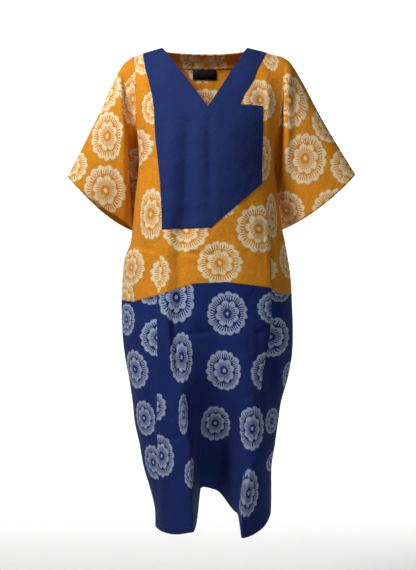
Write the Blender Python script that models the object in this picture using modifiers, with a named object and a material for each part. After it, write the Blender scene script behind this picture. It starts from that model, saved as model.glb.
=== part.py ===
"""Boubou: a loose V-neck dress with half sleeves, filled out as if worn, with nobody in it.

Metres, +Z up. The front faces -Y. The origin is the middle of the shoulder line, where the
wearer's shoulders hold the dress up. "Left" is the -X side. "drop" is the height below the
shoulder line, and "turn" is the angle round the body, 0 at the middle and 90 degrees at a side
seam. Every cloth piece is an open sheet with a Solidify wall, 0.3 mm from its neighbour.
"""

import math
from collections import namedtuple

import bmesh
import bpy
import numpy as np

CLOTH = 0.0015
BIB_CLOTH = 0.0012
FACING_CLOTH = 0.001
LABEL_CLOTH = 0.0006
SEAM_GAP = 0.0003
LAY_GAP = 0.0005
SEAM_LIP = 0.004
WELD = 0.00001

FRONT = -1
BACK = 1

NECK_LEFT = -0.120
NECK_RIGHT = 0.103
NECK_TIP = 0.172
NOTCH_ACROSS = 0.0805
NOTCH_DROP = 0.164
BACK_NECK_DROP = 0.0155
SHOULDER_FALL = 0.0215
SHOULDER_FALL_ENDS = 0.22
SHOULDER_TURN = 45.0
SHOULDER_SMOOTH = 0.03
UNDERARM = 0.296
ARMHOLE_CURVE = 1.5
WIDEST = 0.2255

LABEL_WIDTH = 0.064
LABEL_HEIGHT = 0.025
LABEL_ACROSS = -0.009
LABEL_TOP = 0.0385
LABEL_COLUMNS = 4
LABEL_ROWS = 2

# Half widths to the left and right, and depths forward and back, at heights down the body.
Girth = namedtuple("Girth", "drop left right front back")
GIRTHS = [
    Girth(0.000, 0.193, 0.187, 0.000, 0.000),
    Girth(0.004, 0.193, 0.188, 0.018, 0.030),
    Girth(0.015, 0.192, 0.190, 0.036, 0.056),
    Girth(0.030, 0.190, 0.192, 0.050, 0.070),
    Girth(0.060, 0.186, 0.193, 0.070, 0.085),
    Girth(0.100, 0.185, 0.191, 0.091, 0.096),
    Girth(0.150, 0.184, 0.188, 0.111, 0.105),
    Girth(0.200, 0.183, 0.183, 0.126, 0.112),
    Girth(0.260, 0.180, 0.176, 0.137, 0.116),
    Girth(0.300, 0.180, 0.173, 0.140, 0.116),
    Girth(0.340, 0.184, 0.177, 0.141, 0.113),
    Girth(0.400, 0.191, 0.184, 0.140, 0.108),
    Girth(0.470, 0.197, 0.194, 0.139, 0.106),
    Girth(0.510, 0.203, 0.202, 0.141, 0.109),
    Girth(0.545, 0.217, 0.208, 0.143, 0.113),
    Girth(0.600, 0.223, 0.216, 0.148, 0.121),
    Girth(0.660, 0.2255, 0.219, 0.153, 0.129),
    Girth(0.730, 0.224, 0.2215, 0.157, 0.136),
    Girth(0.800, 0.217, 0.219, 0.159, 0.140),
    Girth(0.860, 0.206, 0.208, 0.159, 0.141),
    Girth(0.920, 0.197, 0.191, 0.157, 0.140),
    Girth(0.980, 0.190, 0.182, 0.154, 0.138),
    Girth(1.030, 0.179, 0.175, 0.151, 0.136),
    Girth(1.090, 0.168, 0.166, 0.147, 0.133),
    Girth(1.140, 0.153, 0.1655, 0.144, 0.131),
    Girth(1.190, 0.140, 0.165, 0.142, 0.129),
    Girth(1.260, 0.137, 0.160, 0.140, 0.127),
]

# Lines down the front: the bib's edges, then the two pressed pleats below its corners.
# A step is how far the middle's cloth stands over the side's at a pleat.
Line = namedtuple("Line", "drop left strap right left_step right_step")
LINES = [
    Line(0.000, -0.169, 0.1525, 0.170, 0.000, 0.000),
    Line(0.060, -0.159, 0.127, 0.160, 0.000, 0.000),
    Line(0.096, -0.150, 0.1145, 0.150, 0.000, 0.000),
    Line(0.164, -0.137, 0.0805, 0.139, 0.000, 0.000),
    Line(0.230, -0.133, 0.0805, 0.1385, 0.000, 0.000),
    Line(0.361, -0.1195, 0.0805, 0.137, 0.000, 0.000),
    Line(0.478, -0.1143, 0.080, 0.155, 0.001, 0.005),
    Line(0.620, -0.125, 0.078, 0.158, 0.005, 0.010),
    Line(0.760, -0.127, 0.070, 0.147, 0.006, 0.010),
    Line(0.860, -0.128, 0.060, 0.134, 0.006, 0.006),
    Line(0.960, -0.129, 0.055, 0.122, 0.005, 0.000),
    Line(1.260, -0.126, 0.050, 0.118, 0.004, 0.000),
]
PLEAT_RUN = 0.004

# Heights across the front: the bib's foot, the waist seam, and the hem of the two lobes.
Height = namedtuple("Height", "across drop")
BIB_FOOT = [
    Height(-0.200, 0.420),
    Height(-0.114, 0.478),
    Height(0.007, 0.475),
    Height(0.137, 0.361),
    Height(0.200, 0.420),
]
WAIST = [
    Height(-0.2255, 0.656),
    Height(-0.190, 0.660),
    Height(-0.125, 0.642),
    Height(-0.033, 0.6135),
    Height(0.047, 0.610),
    Height(0.157, 0.6235),
    Height(0.175, 0.636),
    Height(0.219, 0.642),
]
BACK_WAIST = [
    Height(-0.2255, 0.656),
    Height(0.000, 0.640),
    Height(0.219, 0.642),
]
HEM = [
    Height(-0.140, 1.243),
    Height(-0.085, 1.242),
    Height(-0.034, 1.230),
    Height(0.082, 1.251),
    Height(0.120, 1.243),
    Height(0.150, 1.226),
    Height(0.166, 1.206),
]
BACK_HEM = [
    Height(-0.140, 1.243),
    Height(-0.080, 1.222),
    Height(0.000, 1.165),
    Height(0.080, 1.200),
    Height(0.166, 1.205),
]
HEM_RISE = 0.080
SKIRT_TOP = 0.62
SKIRT_FOOT = 1.22
SKIRT_SETTLE = 0.35

# The deep fold down the front skirt: a steep left wall, a floor, a slope up to a shelf, and a ridge.
Valley = namedtuple("Valley", "drop depth left left_run right ridge ridge_run shelf")
VALLEYS = [
    Valley(0.600, 0.000, -0.110, 0.090, -0.020, 0.130, 0.060, 0.00),
    Valley(0.700, 0.014, -0.105, 0.090, -0.010, 0.130, 0.050, 0.00),
    Valley(0.860, 0.050, -0.075, 0.085, 0.010, 0.130, 0.040, 0.00),
    Valley(1.000, 0.110, -0.050, 0.045, 0.030, 0.118, 0.030, 0.03),
    Valley(1.150, 0.175, -0.042, 0.024, 0.022, 0.084, 0.016, 0.30),
    Valley(1.260, 0.200, -0.036, 0.019, 0.018, 0.078, 0.009, 0.42),
]

# Soft ridges (+) and troughs (-), each along a straight line from its top to its foot.
Fold = namedtuple("Fold", "top_x top_drop foot_x foot_drop width depth")
FRONT_FOLDS = [
    Fold(0.002, 0.150, 0.004, 0.470, 0.010, -0.004),
    Fold(-0.160, 0.040, -0.150, 0.300, 0.014, 0.005),
    Fold(0.150, 0.030, 0.158, 0.330, 0.013, 0.006),
    Fold(-0.150, 0.330, -0.160, 0.600, 0.018, 0.007),
    Fold(-0.175, 0.380, -0.185, 0.560, 0.012, -0.005),
    Fold(0.172, 0.340, 0.180, 0.620, 0.014, 0.006),
    Fold(-0.110, 0.620, -0.060, 1.000, 0.018, 0.008),
    Fold(0.090, 0.680, 0.100, 1.230, 0.022, 0.008),
    Fold(-0.160, 0.800, -0.120, 1.200, 0.014, -0.006),
    Fold(0.180, 0.700, 0.150, 1.050, 0.015, -0.007),
]
BACK_FOLDS = [
    Fold(-0.120, 0.080, -0.090, 0.420, 0.018, 0.006),
    Fold(0.125, 0.090, 0.100, 0.400, 0.018, 0.006),
    Fold(-0.060, 0.300, -0.070, 1.150, 0.026, -0.010),
    Fold(0.065, 0.280, 0.080, 1.180, 0.026, -0.011),
    Fold(0.000, 0.340, 0.005, 1.220, 0.030, 0.012),
    Fold(-0.135, 0.500, -0.110, 1.230, 0.020, 0.009),
    Fold(0.140, 0.520, 0.120, 1.230, 0.020, 0.009),
]
FOLD_ENDS = 0.3
FOLD_SIDE_FADE = 0.35
SIDE_SEAM_FROM = 0.02

# Sleeves, from the armhole to the cuff: the tube's top and foot lines and its half depth.
Ring = namedtuple("Ring", "along top_x top_drop foot_x foot_drop foot_y depth")
LEFT_SLEEVE = [
    Ring(0.00, -0.194, 0.0215, -0.182, 0.296, 0.000, 0.058),
    Ring(0.12, -0.216, 0.040, -0.187, 0.303, 0.013, 0.060),
    Ring(0.30, -0.241, 0.084, -0.189, 0.335, 0.029, 0.062),
    Ring(0.55, -0.276, 0.160, -0.192, 0.385, 0.043, 0.060),
    Ring(0.80, -0.324, 0.254, -0.195, 0.434, 0.050, 0.056),
    Ring(1.00, -0.365, 0.335, -0.202, 0.472, 0.054, 0.052),
]
RIGHT_SLEEVE = [
    Ring(0.00, 0.187, 0.0215, 0.175, 0.296, 0.000, 0.058),
    Ring(0.12, 0.210, 0.036, 0.178, 0.303, 0.013, 0.060),
    Ring(0.30, 0.241, 0.082, 0.180, 0.334, 0.029, 0.062),
    Ring(0.55, 0.289, 0.172, 0.184, 0.382, 0.044, 0.060),
    Ring(0.80, 0.343, 0.264, 0.190, 0.430, 0.053, 0.056),
    Ring(1.00, 0.384, 0.330, 0.199, 0.469, 0.058, 0.052),
]
LEFT_CUFF_LIFT = 0.045
LEFT_CUFF_SAG = 0.018
RIGHT_CUFF_LIFT = 0.000
RIGHT_CUFF_SAG = 0.016
SLEEVE_RINGS = 8
ARMHOLE_HOLD = 0.4
CUFF_BEND = 3

SHOULDER_ROWS = [0.0, 0.0002, 0.004, 0.015, 0.033, 0.060, 0.095, 0.135, 0.172]
CHEST_ROWS = 6
WAIST_ROWS = 3
SKIRT_ROWS = 14
SIDE_COLUMNS = 8
BIB_LEFT_COLUMNS = 14
STRAP_COLUMNS = 6
BIB_RIGHT_COLUMNS = 8
BACK_SHOULDER_COLUMNS = 5
BACK_NECK_COLUMNS = 9
SIDE_LIP_SHARE = 0.03
FACING_ROWS = 5
SECTION_SAMPLES = 241
SETTLE_STEPS = 4

ORANGE = (0.69, 0.24, 0.016)
NAVY = (0.012, 0.027, 0.135)
PLAIN_NAVY = (0.014, 0.026, 0.12)
BLACK = (0.01, 0.01, 0.012)


def clear_scene():
    for obj in list(bpy.data.objects):
        bpy.data.objects.remove(obj, do_unlink=True)


def curve(stops, values, at):
    """A smooth curve through a table's values, level beyond its ends."""
    stops = np.asarray(stops, float)
    values = np.asarray(values, float)
    slopes = np.gradient(values, stops)
    i = np.clip(np.searchsorted(stops, at) - 1, 0, len(stops) - 2)
    width = stops[i + 1] - stops[i]
    t = np.clip((at - stops[i]) / width, 0, 1)
    start = (1 + 2 * t) * (1 - t) ** 2 * values[i] + t * (1 - t) ** 2 * width * slopes[i]
    end = t**2 * (3 - 2 * t) * values[i + 1] + t**2 * (t - 1) * width * slopes[i + 1]
    return start + end


def column(table, key, name, at):
    """One named column of a table as a smooth curve over its key column."""
    return curve([getattr(row, key) for row in table], [getattr(row, name) for row in table], at)


def straight(table, at):
    """Heights across the dress, in straight lines from row to row."""
    return np.interp(at, [row.across for row in table], [row.drop for row in table])


def ease(share):
    share = np.clip(share, 0, 1)
    return share * share * (3 - 2 * share)


def girth(name, drop):
    """A body size at a height. The square root makes the shoulder line a rounded ridge."""
    roots = [math.sqrt(row.drop) for row in GIRTHS]
    return curve(roots, [getattr(row, name) for row in GIRTHS], np.sqrt(np.maximum(drop, 0)))


def edge_turn(drop):
    """Where a panel ends: at the armhole, and below it at the side seam."""
    share = np.clip(drop / UNDERARM, 0, 1) ** ARMHOLE_CURVE
    return np.radians(SHOULDER_TURN + (90 - SHOULDER_TURN) * share)


def reach(is_right, drop):
    """The half width that the body's section would have if it went on to 90 degrees."""
    half = np.where(is_right, girth("right", drop), girth("left", drop))
    return half / np.sin(edge_turn(drop))


def turn_at(across, drop):
    return np.arcsin(np.clip(across / reach(across > 0, drop), -1, 1))


def valley_parts(across, drop):
    """How far a place is down the deep fold's left wall, up its slope, and before its ridge."""

    def value(name):
        return column(VALLEYS, "drop", name, drop)

    wall = ease((across - value("left")) / value("left_run"))
    slope = ease((across - value("right")) / (value("ridge") - value("right")))
    before_ridge = 1 - ease((across - value("ridge")) / value("ridge_run") + 0.5)
    return wall, 1 - (1 - value("shelf")) * slope, before_ridge


def valley_share(across, drop):
    """How much of the deep fold's depth a place has, 0 to 1."""
    wall, slope, before_ridge = valley_parts(across, drop)
    return wall * slope * before_ridge


def hem_rise(across, drop):
    """How far the hem is drawn up inside the deep fold."""
    wall, slope, before_ridge = valley_parts(across, drop)
    return HEM_RISE * wall**3 * np.sqrt(slope * before_ridge)


def fold_heights(folds, across, drop):
    total = np.zeros(np.broadcast(across, drop).shape)
    for fold in folds:
        along_x = fold.foot_x - fold.top_x
        along_d = fold.foot_drop - fold.top_drop
        length = math.hypot(along_x, along_d)
        from_x = across - fold.top_x
        from_d = drop - fold.top_drop
        share = (from_x * along_x + from_d * along_d) / length**2
        off = (from_x * along_d - from_d * along_x) / length
        ends = ease(share / FOLD_ENDS) * ease((1 - share) / FOLD_ENDS)
        total = total + fold.depth * ends * np.exp(-((off / fold.width) ** 2))
    return total


def relief(across, drop, facing):
    """How far the cloth stands out from the plain body, forward or back."""
    if facing == BACK:
        return fold_heights(BACK_FOLDS, across, drop)
    left_pleat = ease((across - column(LINES, "drop", "left", drop)) / PLEAT_RUN + 0.5)
    right_pleat = ease((column(LINES, "drop", "right", drop) - across) / PLEAT_RUN + 0.5)
    left_under = column(LINES, "drop", "left_step", drop) * (1 - left_pleat)
    right_under = column(LINES, "drop", "right_step", drop) * (1 - right_pleat)
    valley = column(VALLEYS, "drop", "depth", drop) * valley_share(across, drop)
    return fold_heights(FRONT_FOLDS, across, drop) - left_under - right_under - valley


def body(turn, drop, facing):
    """Outer points of the body's front or back."""
    turn, drop = np.broadcast_arrays(np.asarray(turn, float), np.asarray(drop, float))
    across = reach(turn > 0, drop) * np.sin(turn)
    depth = girth("front" if facing == FRONT else "back", drop) * np.cos(turn)
    fade = ease(np.cos(turn) / FOLD_SIDE_FADE) * ease(drop / SHOULDER_SMOOTH)
    depth = depth + relief(across, drop, facing) * fade
    at_seam = (facing == BACK) | (np.cos(turn) < SIDE_SEAM_FROM)
    depth = np.where(at_seam, np.maximum(depth, SEAM_GAP / 2), depth)
    depth = np.where(drop < WELD, SEAM_GAP / 2, depth)
    neck_side = np.where(across > 0, NECK_RIGHT, -NECK_LEFT)
    outward = np.clip((np.abs(across) - neck_side) / (girth("left", 0.0) - neck_side), 0, 1)
    fall = SHOULDER_FALL * outward * (1 - ease(drop / SHOULDER_FALL_ENDS))
    return np.stack([across, facing * depth, -drop - fall], axis=-1)


def spread(stations, counts, lips):
    """Turns of the columns: counts steps between each two stations, and thin lips at the sides."""
    turns = [stations[0]]
    if lips[0]:
        turns.append(stations[0] + (stations[1] - stations[0]) * SIDE_LIP_SHARE)
    for start, end, count in zip(stations, stations[1:], counts):
        turns += [start + (end - start) * step / count for step in range(1, count + 1)]
    if lips[1]:
        turns.insert(-1, stations[-1] + (stations[-2] - stations[-1]) * SIDE_LIP_SHARE)
    return np.stack(np.broadcast_arrays(*turns), axis=-1)


def front_level(zone, share, across):
    """The drop of a row of the front: shoulder to neck tip, to the bib's foot, to the waist."""
    tip = np.interp(across, [0.0, NOTCH_ACROSS], [NECK_TIP, NOTCH_DROP])
    marks = [np.zeros_like(tip), tip, straight(BIB_FOOT, across), straight(WAIST, across)]
    return marks[zone] + (marks[zone + 1] - marks[zone]) * share


def front_rows():
    rows = [(0, drop / NECK_TIP) for drop in SHOULDER_ROWS]
    rows += [(1, step / CHEST_ROWS) for step in range(1, CHEST_ROWS + 1)]
    rows += [(2, step / WAIST_ROWS) for step in range(1, WAIST_ROWS + 1)]
    return rows


def underarm_row():
    return len(SHOULDER_ROWS) - 1 + CHEST_ROWS // 2


def line_turn(name, drop):
    return turn_at(column(LINES, "drop", name, drop), drop)


def neck_turn(neck, drop):
    return turn_at(neck * np.clip(1 - drop / NECK_TIP, 0, 1), drop)


def left_columns(drop):
    stations = [-edge_turn(drop), line_turn("left", drop), neck_turn(NECK_LEFT, drop)]
    return spread(stations, [SIDE_COLUMNS, BIB_LEFT_COLUMNS], (True, False))


def right_columns(drop):
    stations = [
        neck_turn(NECK_RIGHT, drop),
        line_turn("strap", drop),
        line_turn("right", drop),
        edge_turn(drop),
    ]
    return spread(stations, [STRAP_COLUMNS, BIB_RIGHT_COLUMNS, SIDE_COLUMNS], (False, True))


def settle(level_of, columns_of, start):
    """A row whose height depends on where its columns are, and the other way round."""
    turns = columns_of(start)
    for _ in range(SETTLE_STEPS):
        across = reach(turns > 0, start) * np.sin(turns)
        drops = level_of(across)
        turns = np.array([columns_of(drop)[i] for i, drop in enumerate(drops)])
        start = drops
    return turns, drops


def front_half(columns_of):
    grid = []
    for zone, share in front_rows():
        nominal = front_level(zone, share, np.array(0.0))
        turns, drops = settle(lambda x, z=zone, s=share: front_level(z, s, x), columns_of, nominal)
        grid.append(body(turns, drops, FRONT))
    return np.array(grid)


def edge_drops(is_right):
    """The drop of each row at an armhole or side seam, which the back's rows share."""
    side = np.array(WIDEST if is_right else -WIDEST)
    return np.array([float(front_level(zone, share, side)) for zone, share in front_rows()])


def back_top(across):
    """The drop of the back's upper edge: the neckline, and 0 along the shoulders."""
    neck = np.where(across > 0, NECK_RIGHT, -NECK_LEFT)
    return BACK_NECK_DROP * np.sqrt(np.clip(1 - (across / neck) ** 2, 0, 1))


def back_columns(drop):
    low = np.maximum(drop, BACK_NECK_DROP)
    stations = [
        -edge_turn(drop),
        turn_at(np.full_like(low, NECK_LEFT), drop),
        np.zeros_like(low),
        turn_at(np.full_like(low, NECK_RIGHT), drop),
        edge_turn(drop),
    ]
    counts = [BACK_SHOULDER_COLUMNS, BACK_NECK_COLUMNS, BACK_NECK_COLUMNS, BACK_SHOULDER_COLUMNS]
    return spread(stations, counts, (True, True))


def back_upper_grid():
    left = edge_drops(False)
    right = edge_drops(True)
    grid = []
    for row in range(len(left)):
        def level(across, row=row):
            place = np.clip(across / WIDEST / 2 + 0.5, 0, 1)
            share = left[row] / left[-1] * (1 - place) + right[row] / right[-1] * place
            top = back_top(across)
            return top + (straight(BACK_WAIST, across) - top) * share

        turns, drops = settle(level, back_columns, np.array(left[row]))
        grid.append(body(turns, drops, BACK))
    return np.array(grid)


def skirt_level(across, share, facing):
    if facing == BACK:
        waist = straight(BACK_WAIST, across)
        hem = column(BACK_HEM, "across", "drop", across)
    else:
        waist = straight(WAIST, across)
        lobes = column(HEM, "across", "drop", across)
        hem = lobes - hem_rise(across, lobes)
    return waist + (hem - waist) * share


def even_turns(first, last, drop, count, facing):
    """Turns that part a stretch of the section into equal lengths of cloth."""
    samples = np.linspace(first, last, SECTION_SAMPLES)
    points = body(samples, drop, facing)
    lengths = np.concatenate([[0], np.cumsum(np.linalg.norm(np.diff(points, axis=0), axis=1))])
    return np.interp(np.linspace(0, lengths[-1], count + 1), lengths, samples)


def skirt_grid(top_row, facing):
    """The skirt below an upper's last row, with its cloth spread evenly over the folds."""
    top_drop = -top_row[:, 2]
    top_turns = turn_at(top_row[:, 0], top_drop)
    count = len(top_turns) - 1
    side = SIDE_COLUMNS + 1
    grid = []
    for step in range(SKIRT_ROWS + 1):
        share = step / SKIRT_ROWS
        nominal = SKIRT_TOP + (SKIRT_FOOT - SKIRT_TOP) * share
        if facing == FRONT:
            first = float(line_turn("left", nominal))
            last = float(line_turn("right", nominal))
            left_ends = [top_turns[0], top_turns[side]]
            right_ends = [top_turns[-side - 1], top_turns[-1]]
            left = np.interp(top_turns[: side + 1], left_ends, [-np.pi / 2, first])
            right = np.interp(top_turns[-side - 1 :], right_ends, [last, np.pi / 2])
            middle = even_turns(first, last, nominal, count - 2 * side, facing)
            even = np.concatenate([left, middle[1:-1], right])
            turns = top_turns + (even - top_turns) * ease(share / SKIRT_SETTLE)
        else:
            turns = top_turns
        drops = np.full(count + 1, nominal)
        for _ in range(SETTLE_STEPS):
            across = reach(turns > 0, drops) * np.sin(turns)
            drops = skirt_level(across, share, facing)
        grid.append(top_row if step == 0 else body(turns, drops, facing))
    return np.array(grid)


def unit(vectors):
    return vectors / np.linalg.norm(vectors, axis=-1, keepdims=True)


def part_edges(seam, inner_a, inner_b):
    """Edges and lips of two sheets sewn along seam, half a gap either side of it."""
    run = unit(inner_b - inner_a)
    gap = run * SEAM_GAP / 2
    lip = run * SEAM_LIP
    return seam - gap, seam - lip, seam + gap, seam + lip


def sew_waist(upper, skirt):
    """Returns both grids with a lip row each along the waist seam."""
    edge_a, lip_a, edge_b, lip_b = part_edges(upper[-1], upper[-2], skirt[1])
    upper = np.concatenate([upper[:-1], lip_a[None], edge_a[None]])
    skirt = np.concatenate([edge_b[None], lip_b[None], skirt[1:]])
    return upper, skirt


def loop_share(edge):
    lengths = np.concatenate([[0], np.cumsum(np.linalg.norm(np.diff(edge, axis=0), axis=1))])
    return lengths / lengths[-1]


def sleeve_grid(front_edge, back_edge, table, lift, sag):
    """Rings from the armhole, top first, down the front, and up the back."""
    armhole = np.concatenate([front_edge, back_edge[-2:0:-1]])
    armhole[0, 1] = 0
    armhole[len(front_edge) - 1, 1] = 0
    front_angles = np.pi * loop_share(front_edge)
    back_angles = 2 * np.pi - np.pi * loop_share(back_edge)[-2:0:-1]
    angles = np.concatenate([front_angles, back_angles])
    low = (1 - np.cos(angles)) / 2
    rings = [armhole]
    for step in range(1, SLEEVE_RINGS + 1):
        along = step / SLEEVE_RINGS
        size = {name: float(column(table, "along", name, along)) for name in Ring._fields[1:]}
        top = np.array([size["top_x"], 0, -size["top_drop"]])
        foot = np.array([size["foot_x"], size["foot_y"], -size["foot_drop"]])
        first_top = np.array([table[0].top_x, 0, -table[0].top_drop])
        first_foot = np.array([table[0].foot_x, 0, -table[0].foot_drop])
        oval = (top + foot) / 2 + (top - foot) / 2 * np.cos(angles)[:, None]
        oval[:, 1] -= size["depth"] * np.sin(angles)
        carried = armhole + (top - first_top) + ((foot - first_foot) - (top - first_top)) * low[:, None]
        hold = 1 - ease(along / ARMHOLE_HOLD)
        ring = carried * hold + oval * (1 - hold)
        front_low = np.clip(np.sin(angles), 0, 1) * low
        ring[:, 2] += (lift * front_low - sag * np.sin(angles) ** 2) * along**CUFF_BEND
        rings.append(ring)
    return np.array(rings)


def sew_armhole(front, back, sleeve, side):
    """Lips on the body's armhole edges and on the sleeve. side is the edge's column, 0 or -1."""
    last = underarm_row()
    lip_column = 1 if side == 0 else -2
    inner_column = 2 if side == 0 else -3
    count = sleeve.shape[1]
    ring_edge = sleeve[0].copy()
    ring_lip = sleeve[0].copy()
    for i in range(count):
        row = i if i <= last else count - i
        parts = [front] if i <= last else [back]
        if i in (0, last):
            parts = [front, back]
        inner = sum(part[row, inner_column] for part in parts) / len(parts)
        edge, lip, sleeve_edge, sleeve_lip = part_edges(sleeve[0, i], inner, sleeve[1, i])
        ring_edge[i] = sleeve_edge
        ring_lip[i] = sleeve_lip
        for part in parts:
            apart = np.array([0, part[row, side, 1], 0]) if len(parts) == 2 else 0
            part[row, side] = edge + apart
            if i != last:
                part[row, lip_column] = lip + apart
    return np.concatenate([ring_edge[None], ring_lip[None], sleeve[1:]])


def cloth_material(name, colour, roughness):
    material = bpy.data.materials.new(name)
    material.use_nodes = True
    shader = material.node_tree.nodes["Principled BSDF"]
    shader.inputs["Base Color"].default_value = (*colour, 1)
    shader.inputs["Roughness"].default_value = roughness
    shader.inputs["Metallic"].default_value = 0
    return material


def sheet_mesh(name, grids, closed=False, flip=False):
    """One mesh from grids of points, welded where they share a line."""
    points = []
    faces = []
    for grid in grids:
        start = len(points)
        rows, cols = grid.shape[:2]
        points += grid.reshape(-1, 3).tolist()
        for r in range(rows - 1):
            for c in range(cols if closed else cols - 1):
                d = (c + 1) % cols
                quad = [start + r * cols + c, start + (r + 1) * cols + c]
                quad += [start + (r + 1) * cols + d, start + r * cols + d]
                faces.append(quad[::-1] if flip else quad)
    mesh = bpy.data.meshes.new(name)
    mesh.from_pydata(points, [], faces)
    return mesh


def weld(mesh):
    shell = bmesh.new()
    shell.from_mesh(mesh)
    bmesh.ops.remove_doubles(shell, verts=shell.verts, dist=WELD)
    shell.to_mesh(mesh)
    shell.free()


def add_sheet(name, grids, material, collection, wall=CLOTH, outward=False, closed=False, flip=False):
    mesh = sheet_mesh(name, grids, closed, flip)
    weld(mesh)
    mesh.materials.append(material)
    mesh.shade_smooth()
    obj = bpy.data.objects.new(name, mesh)
    collection.objects.link(obj)
    solid = obj.modifiers.new("wall", "SOLIDIFY")
    solid.thickness = wall
    solid.offset = 1 if outward else -1
    return obj


def moved_out(grids, distance, flip=False):
    """The same grids moved along the cloth's own normals, which shared points have in common."""
    mesh = sheet_mesh("scratch", grids, flip=flip)
    points = np.array([vert.co for vert in mesh.vertices])
    normals = np.array([normal.vector for normal in mesh.vertex_normals])
    bpy.data.meshes.remove(mesh)
    _, place = np.unique(np.round(points / WELD), axis=0, return_inverse=True)
    place = place.reshape(-1)
    shared = np.zeros((place.max() + 1, 3))
    np.add.at(shared, place, normals)
    moved = points + unit(shared)[place] * distance
    result = []
    start = 0
    for grid in grids:
        size = grid.shape[0] * grid.shape[1]
        result.append(moved[start : start + size].reshape(grid.shape))
        start += size
    return result


def bib_grids(left, right):
    """The bib's share of the front's own points: two straps that meet below the neck."""
    foot = len(SHOULDER_ROWS) - 1 + CHEST_ROWS
    notch = len(SHOULDER_ROWS) - 1
    left_part = left[1 : foot + 1, SIDE_COLUMNS + 1 :]
    strap = right[1 : foot + 1, : STRAP_COLUMNS + 1]
    right_part = right[notch : foot + 1, STRAP_COLUMNS : STRAP_COLUMNS + BIB_RIGHT_COLUMNS + 1]
    return [left_part, strap, right_part]


def facing_grid(back):
    first = BACK_SHOULDER_COLUMNS + 1
    return back[:FACING_ROWS, first : first + 2 * BACK_NECK_COLUMNS + 1]


def label_grid(back):
    """Points of the back's own facets under the woven label, over the facing's lower edge."""
    across = LABEL_ACROSS + np.linspace(-0.5, 0.5, LABEL_COLUMNS + 1) * LABEL_WIDTH
    drops = np.linspace(LABEL_TOP, LABEL_TOP + LABEL_HEIGHT, LABEL_ROWS + 1)
    columns = []
    for x in across:
        depths = [np.interp(x, row[:, 0], row[:, 1]) for row in back]
        row_drops = [-np.interp(x, row[:, 0], row[:, 2]) for row in back]
        y = np.interp(drops, row_drops, depths)
        columns.append(np.stack([np.full_like(drops, x), y, -drops], axis=-1))
    return np.stack(columns, axis=1)


def build():
    clear_scene()
    dress = bpy.data.collections.new("boubou")
    bpy.context.scene.collection.children.link(dress)
    orange = cloth_material("orange_print", ORANGE, 0.85)
    navy = cloth_material("navy_print", NAVY, 0.85)
    plain = cloth_material("navy_plain", PLAIN_NAVY, 0.8)
    black = cloth_material("label_black", BLACK, 0.6)

    left = front_half(left_columns)
    right = front_half(right_columns)
    back = back_upper_grid()
    top_row = np.concatenate([left[-1], right[-1][1:]])
    front_skirt = skirt_grid(top_row, FRONT)
    back_skirt = skirt_grid(back[-1], BACK)

    last = underarm_row()
    armhole = slice(0, last + 1)
    sleeve_left = sleeve_grid(
        left[armhole, 0], back[armhole, 0], LEFT_SLEEVE, LEFT_CUFF_LIFT, LEFT_CUFF_SAG
    )
    sleeve_right = sleeve_grid(
        right[armhole, -1], back[armhole, -1], RIGHT_SLEEVE, RIGHT_CUFF_LIFT, RIGHT_CUFF_SAG
    )
    sleeve_left = sew_armhole(left, back, sleeve_left, 0)
    sleeve_right = sew_armhole(right, back, sleeve_right, -1)

    bib = moved_out(bib_grids(left, right), LAY_GAP)
    neck_facing = moved_out([facing_grid(back)], -(CLOTH + LAY_GAP), flip=True)
    label_in = CLOTH + LAY_GAP + FACING_CLOTH + LAY_GAP
    label = moved_out([label_grid(back)], -label_in, flip=True)

    split = left.shape[1] - 1
    left, left_skirt = sew_waist(left, front_skirt[:, : split + 1])
    right, right_skirt = sew_waist(right, front_skirt[:, split:])
    back, back_skirt = sew_waist(back, back_skirt)

    add_sheet("front_upper", [left, right], orange, dress)
    add_sheet("back_upper", [back], orange, dress, flip=True)
    add_sheet("sleeve_left", [sleeve_left], orange, dress, closed=True, flip=True)
    add_sheet("sleeve_right", [sleeve_right], orange, dress, closed=True)
    add_sheet("bib", bib, plain, dress, wall=BIB_CLOTH, outward=True)
    add_sheet("front_skirt", [left_skirt, right_skirt], navy, dress)
    add_sheet("back_skirt", [back_skirt], navy, dress, flip=True)
    add_sheet("neck_facing", neck_facing, orange, dress, wall=FACING_CLOTH, flip=True)
    add_sheet("neck_label", label, black, dress, wall=LABEL_CLOTH, flip=True)


build()
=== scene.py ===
"""Boubou: the dress's cloth, print, stitching, stage and light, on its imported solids.

Metres, +Z up, the front faces -Y. "Left" is the -X side. "drop" is the height below the shoulder
line, and "turn" is the angle round the body. Each cloth piece is a thin sheet on its solid's own
form, with finer creases.
"""

import math
from collections import namedtuple

import bpy
import numpy as np
from mathutils import Matrix, Vector


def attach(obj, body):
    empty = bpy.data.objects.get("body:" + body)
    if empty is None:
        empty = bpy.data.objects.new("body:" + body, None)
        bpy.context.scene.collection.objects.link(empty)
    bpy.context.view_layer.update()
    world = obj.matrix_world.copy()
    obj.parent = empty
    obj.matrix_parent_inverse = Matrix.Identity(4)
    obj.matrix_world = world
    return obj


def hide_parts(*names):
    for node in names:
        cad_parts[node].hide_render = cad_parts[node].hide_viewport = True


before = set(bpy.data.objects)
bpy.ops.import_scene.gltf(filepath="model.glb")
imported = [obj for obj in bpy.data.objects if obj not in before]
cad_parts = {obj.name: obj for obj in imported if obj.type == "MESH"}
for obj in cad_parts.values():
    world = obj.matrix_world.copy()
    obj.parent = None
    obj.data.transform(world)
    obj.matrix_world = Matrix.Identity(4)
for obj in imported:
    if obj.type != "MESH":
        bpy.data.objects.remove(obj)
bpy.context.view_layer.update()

# Thicknesses of the cloths, and the gaps and lips where they meet.
CLOTH = 0.0015
BIB_CLOTH = 0.0012
FACING_CLOTH = 0.001
LABEL_CLOTH = 0.0006
SEAM_GAP = 0.0003
LAY_GAP = 0.0005
SEAM_LIP = 0.004
WELD = 0.00001
FRONT = -1
BACK = 1

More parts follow.
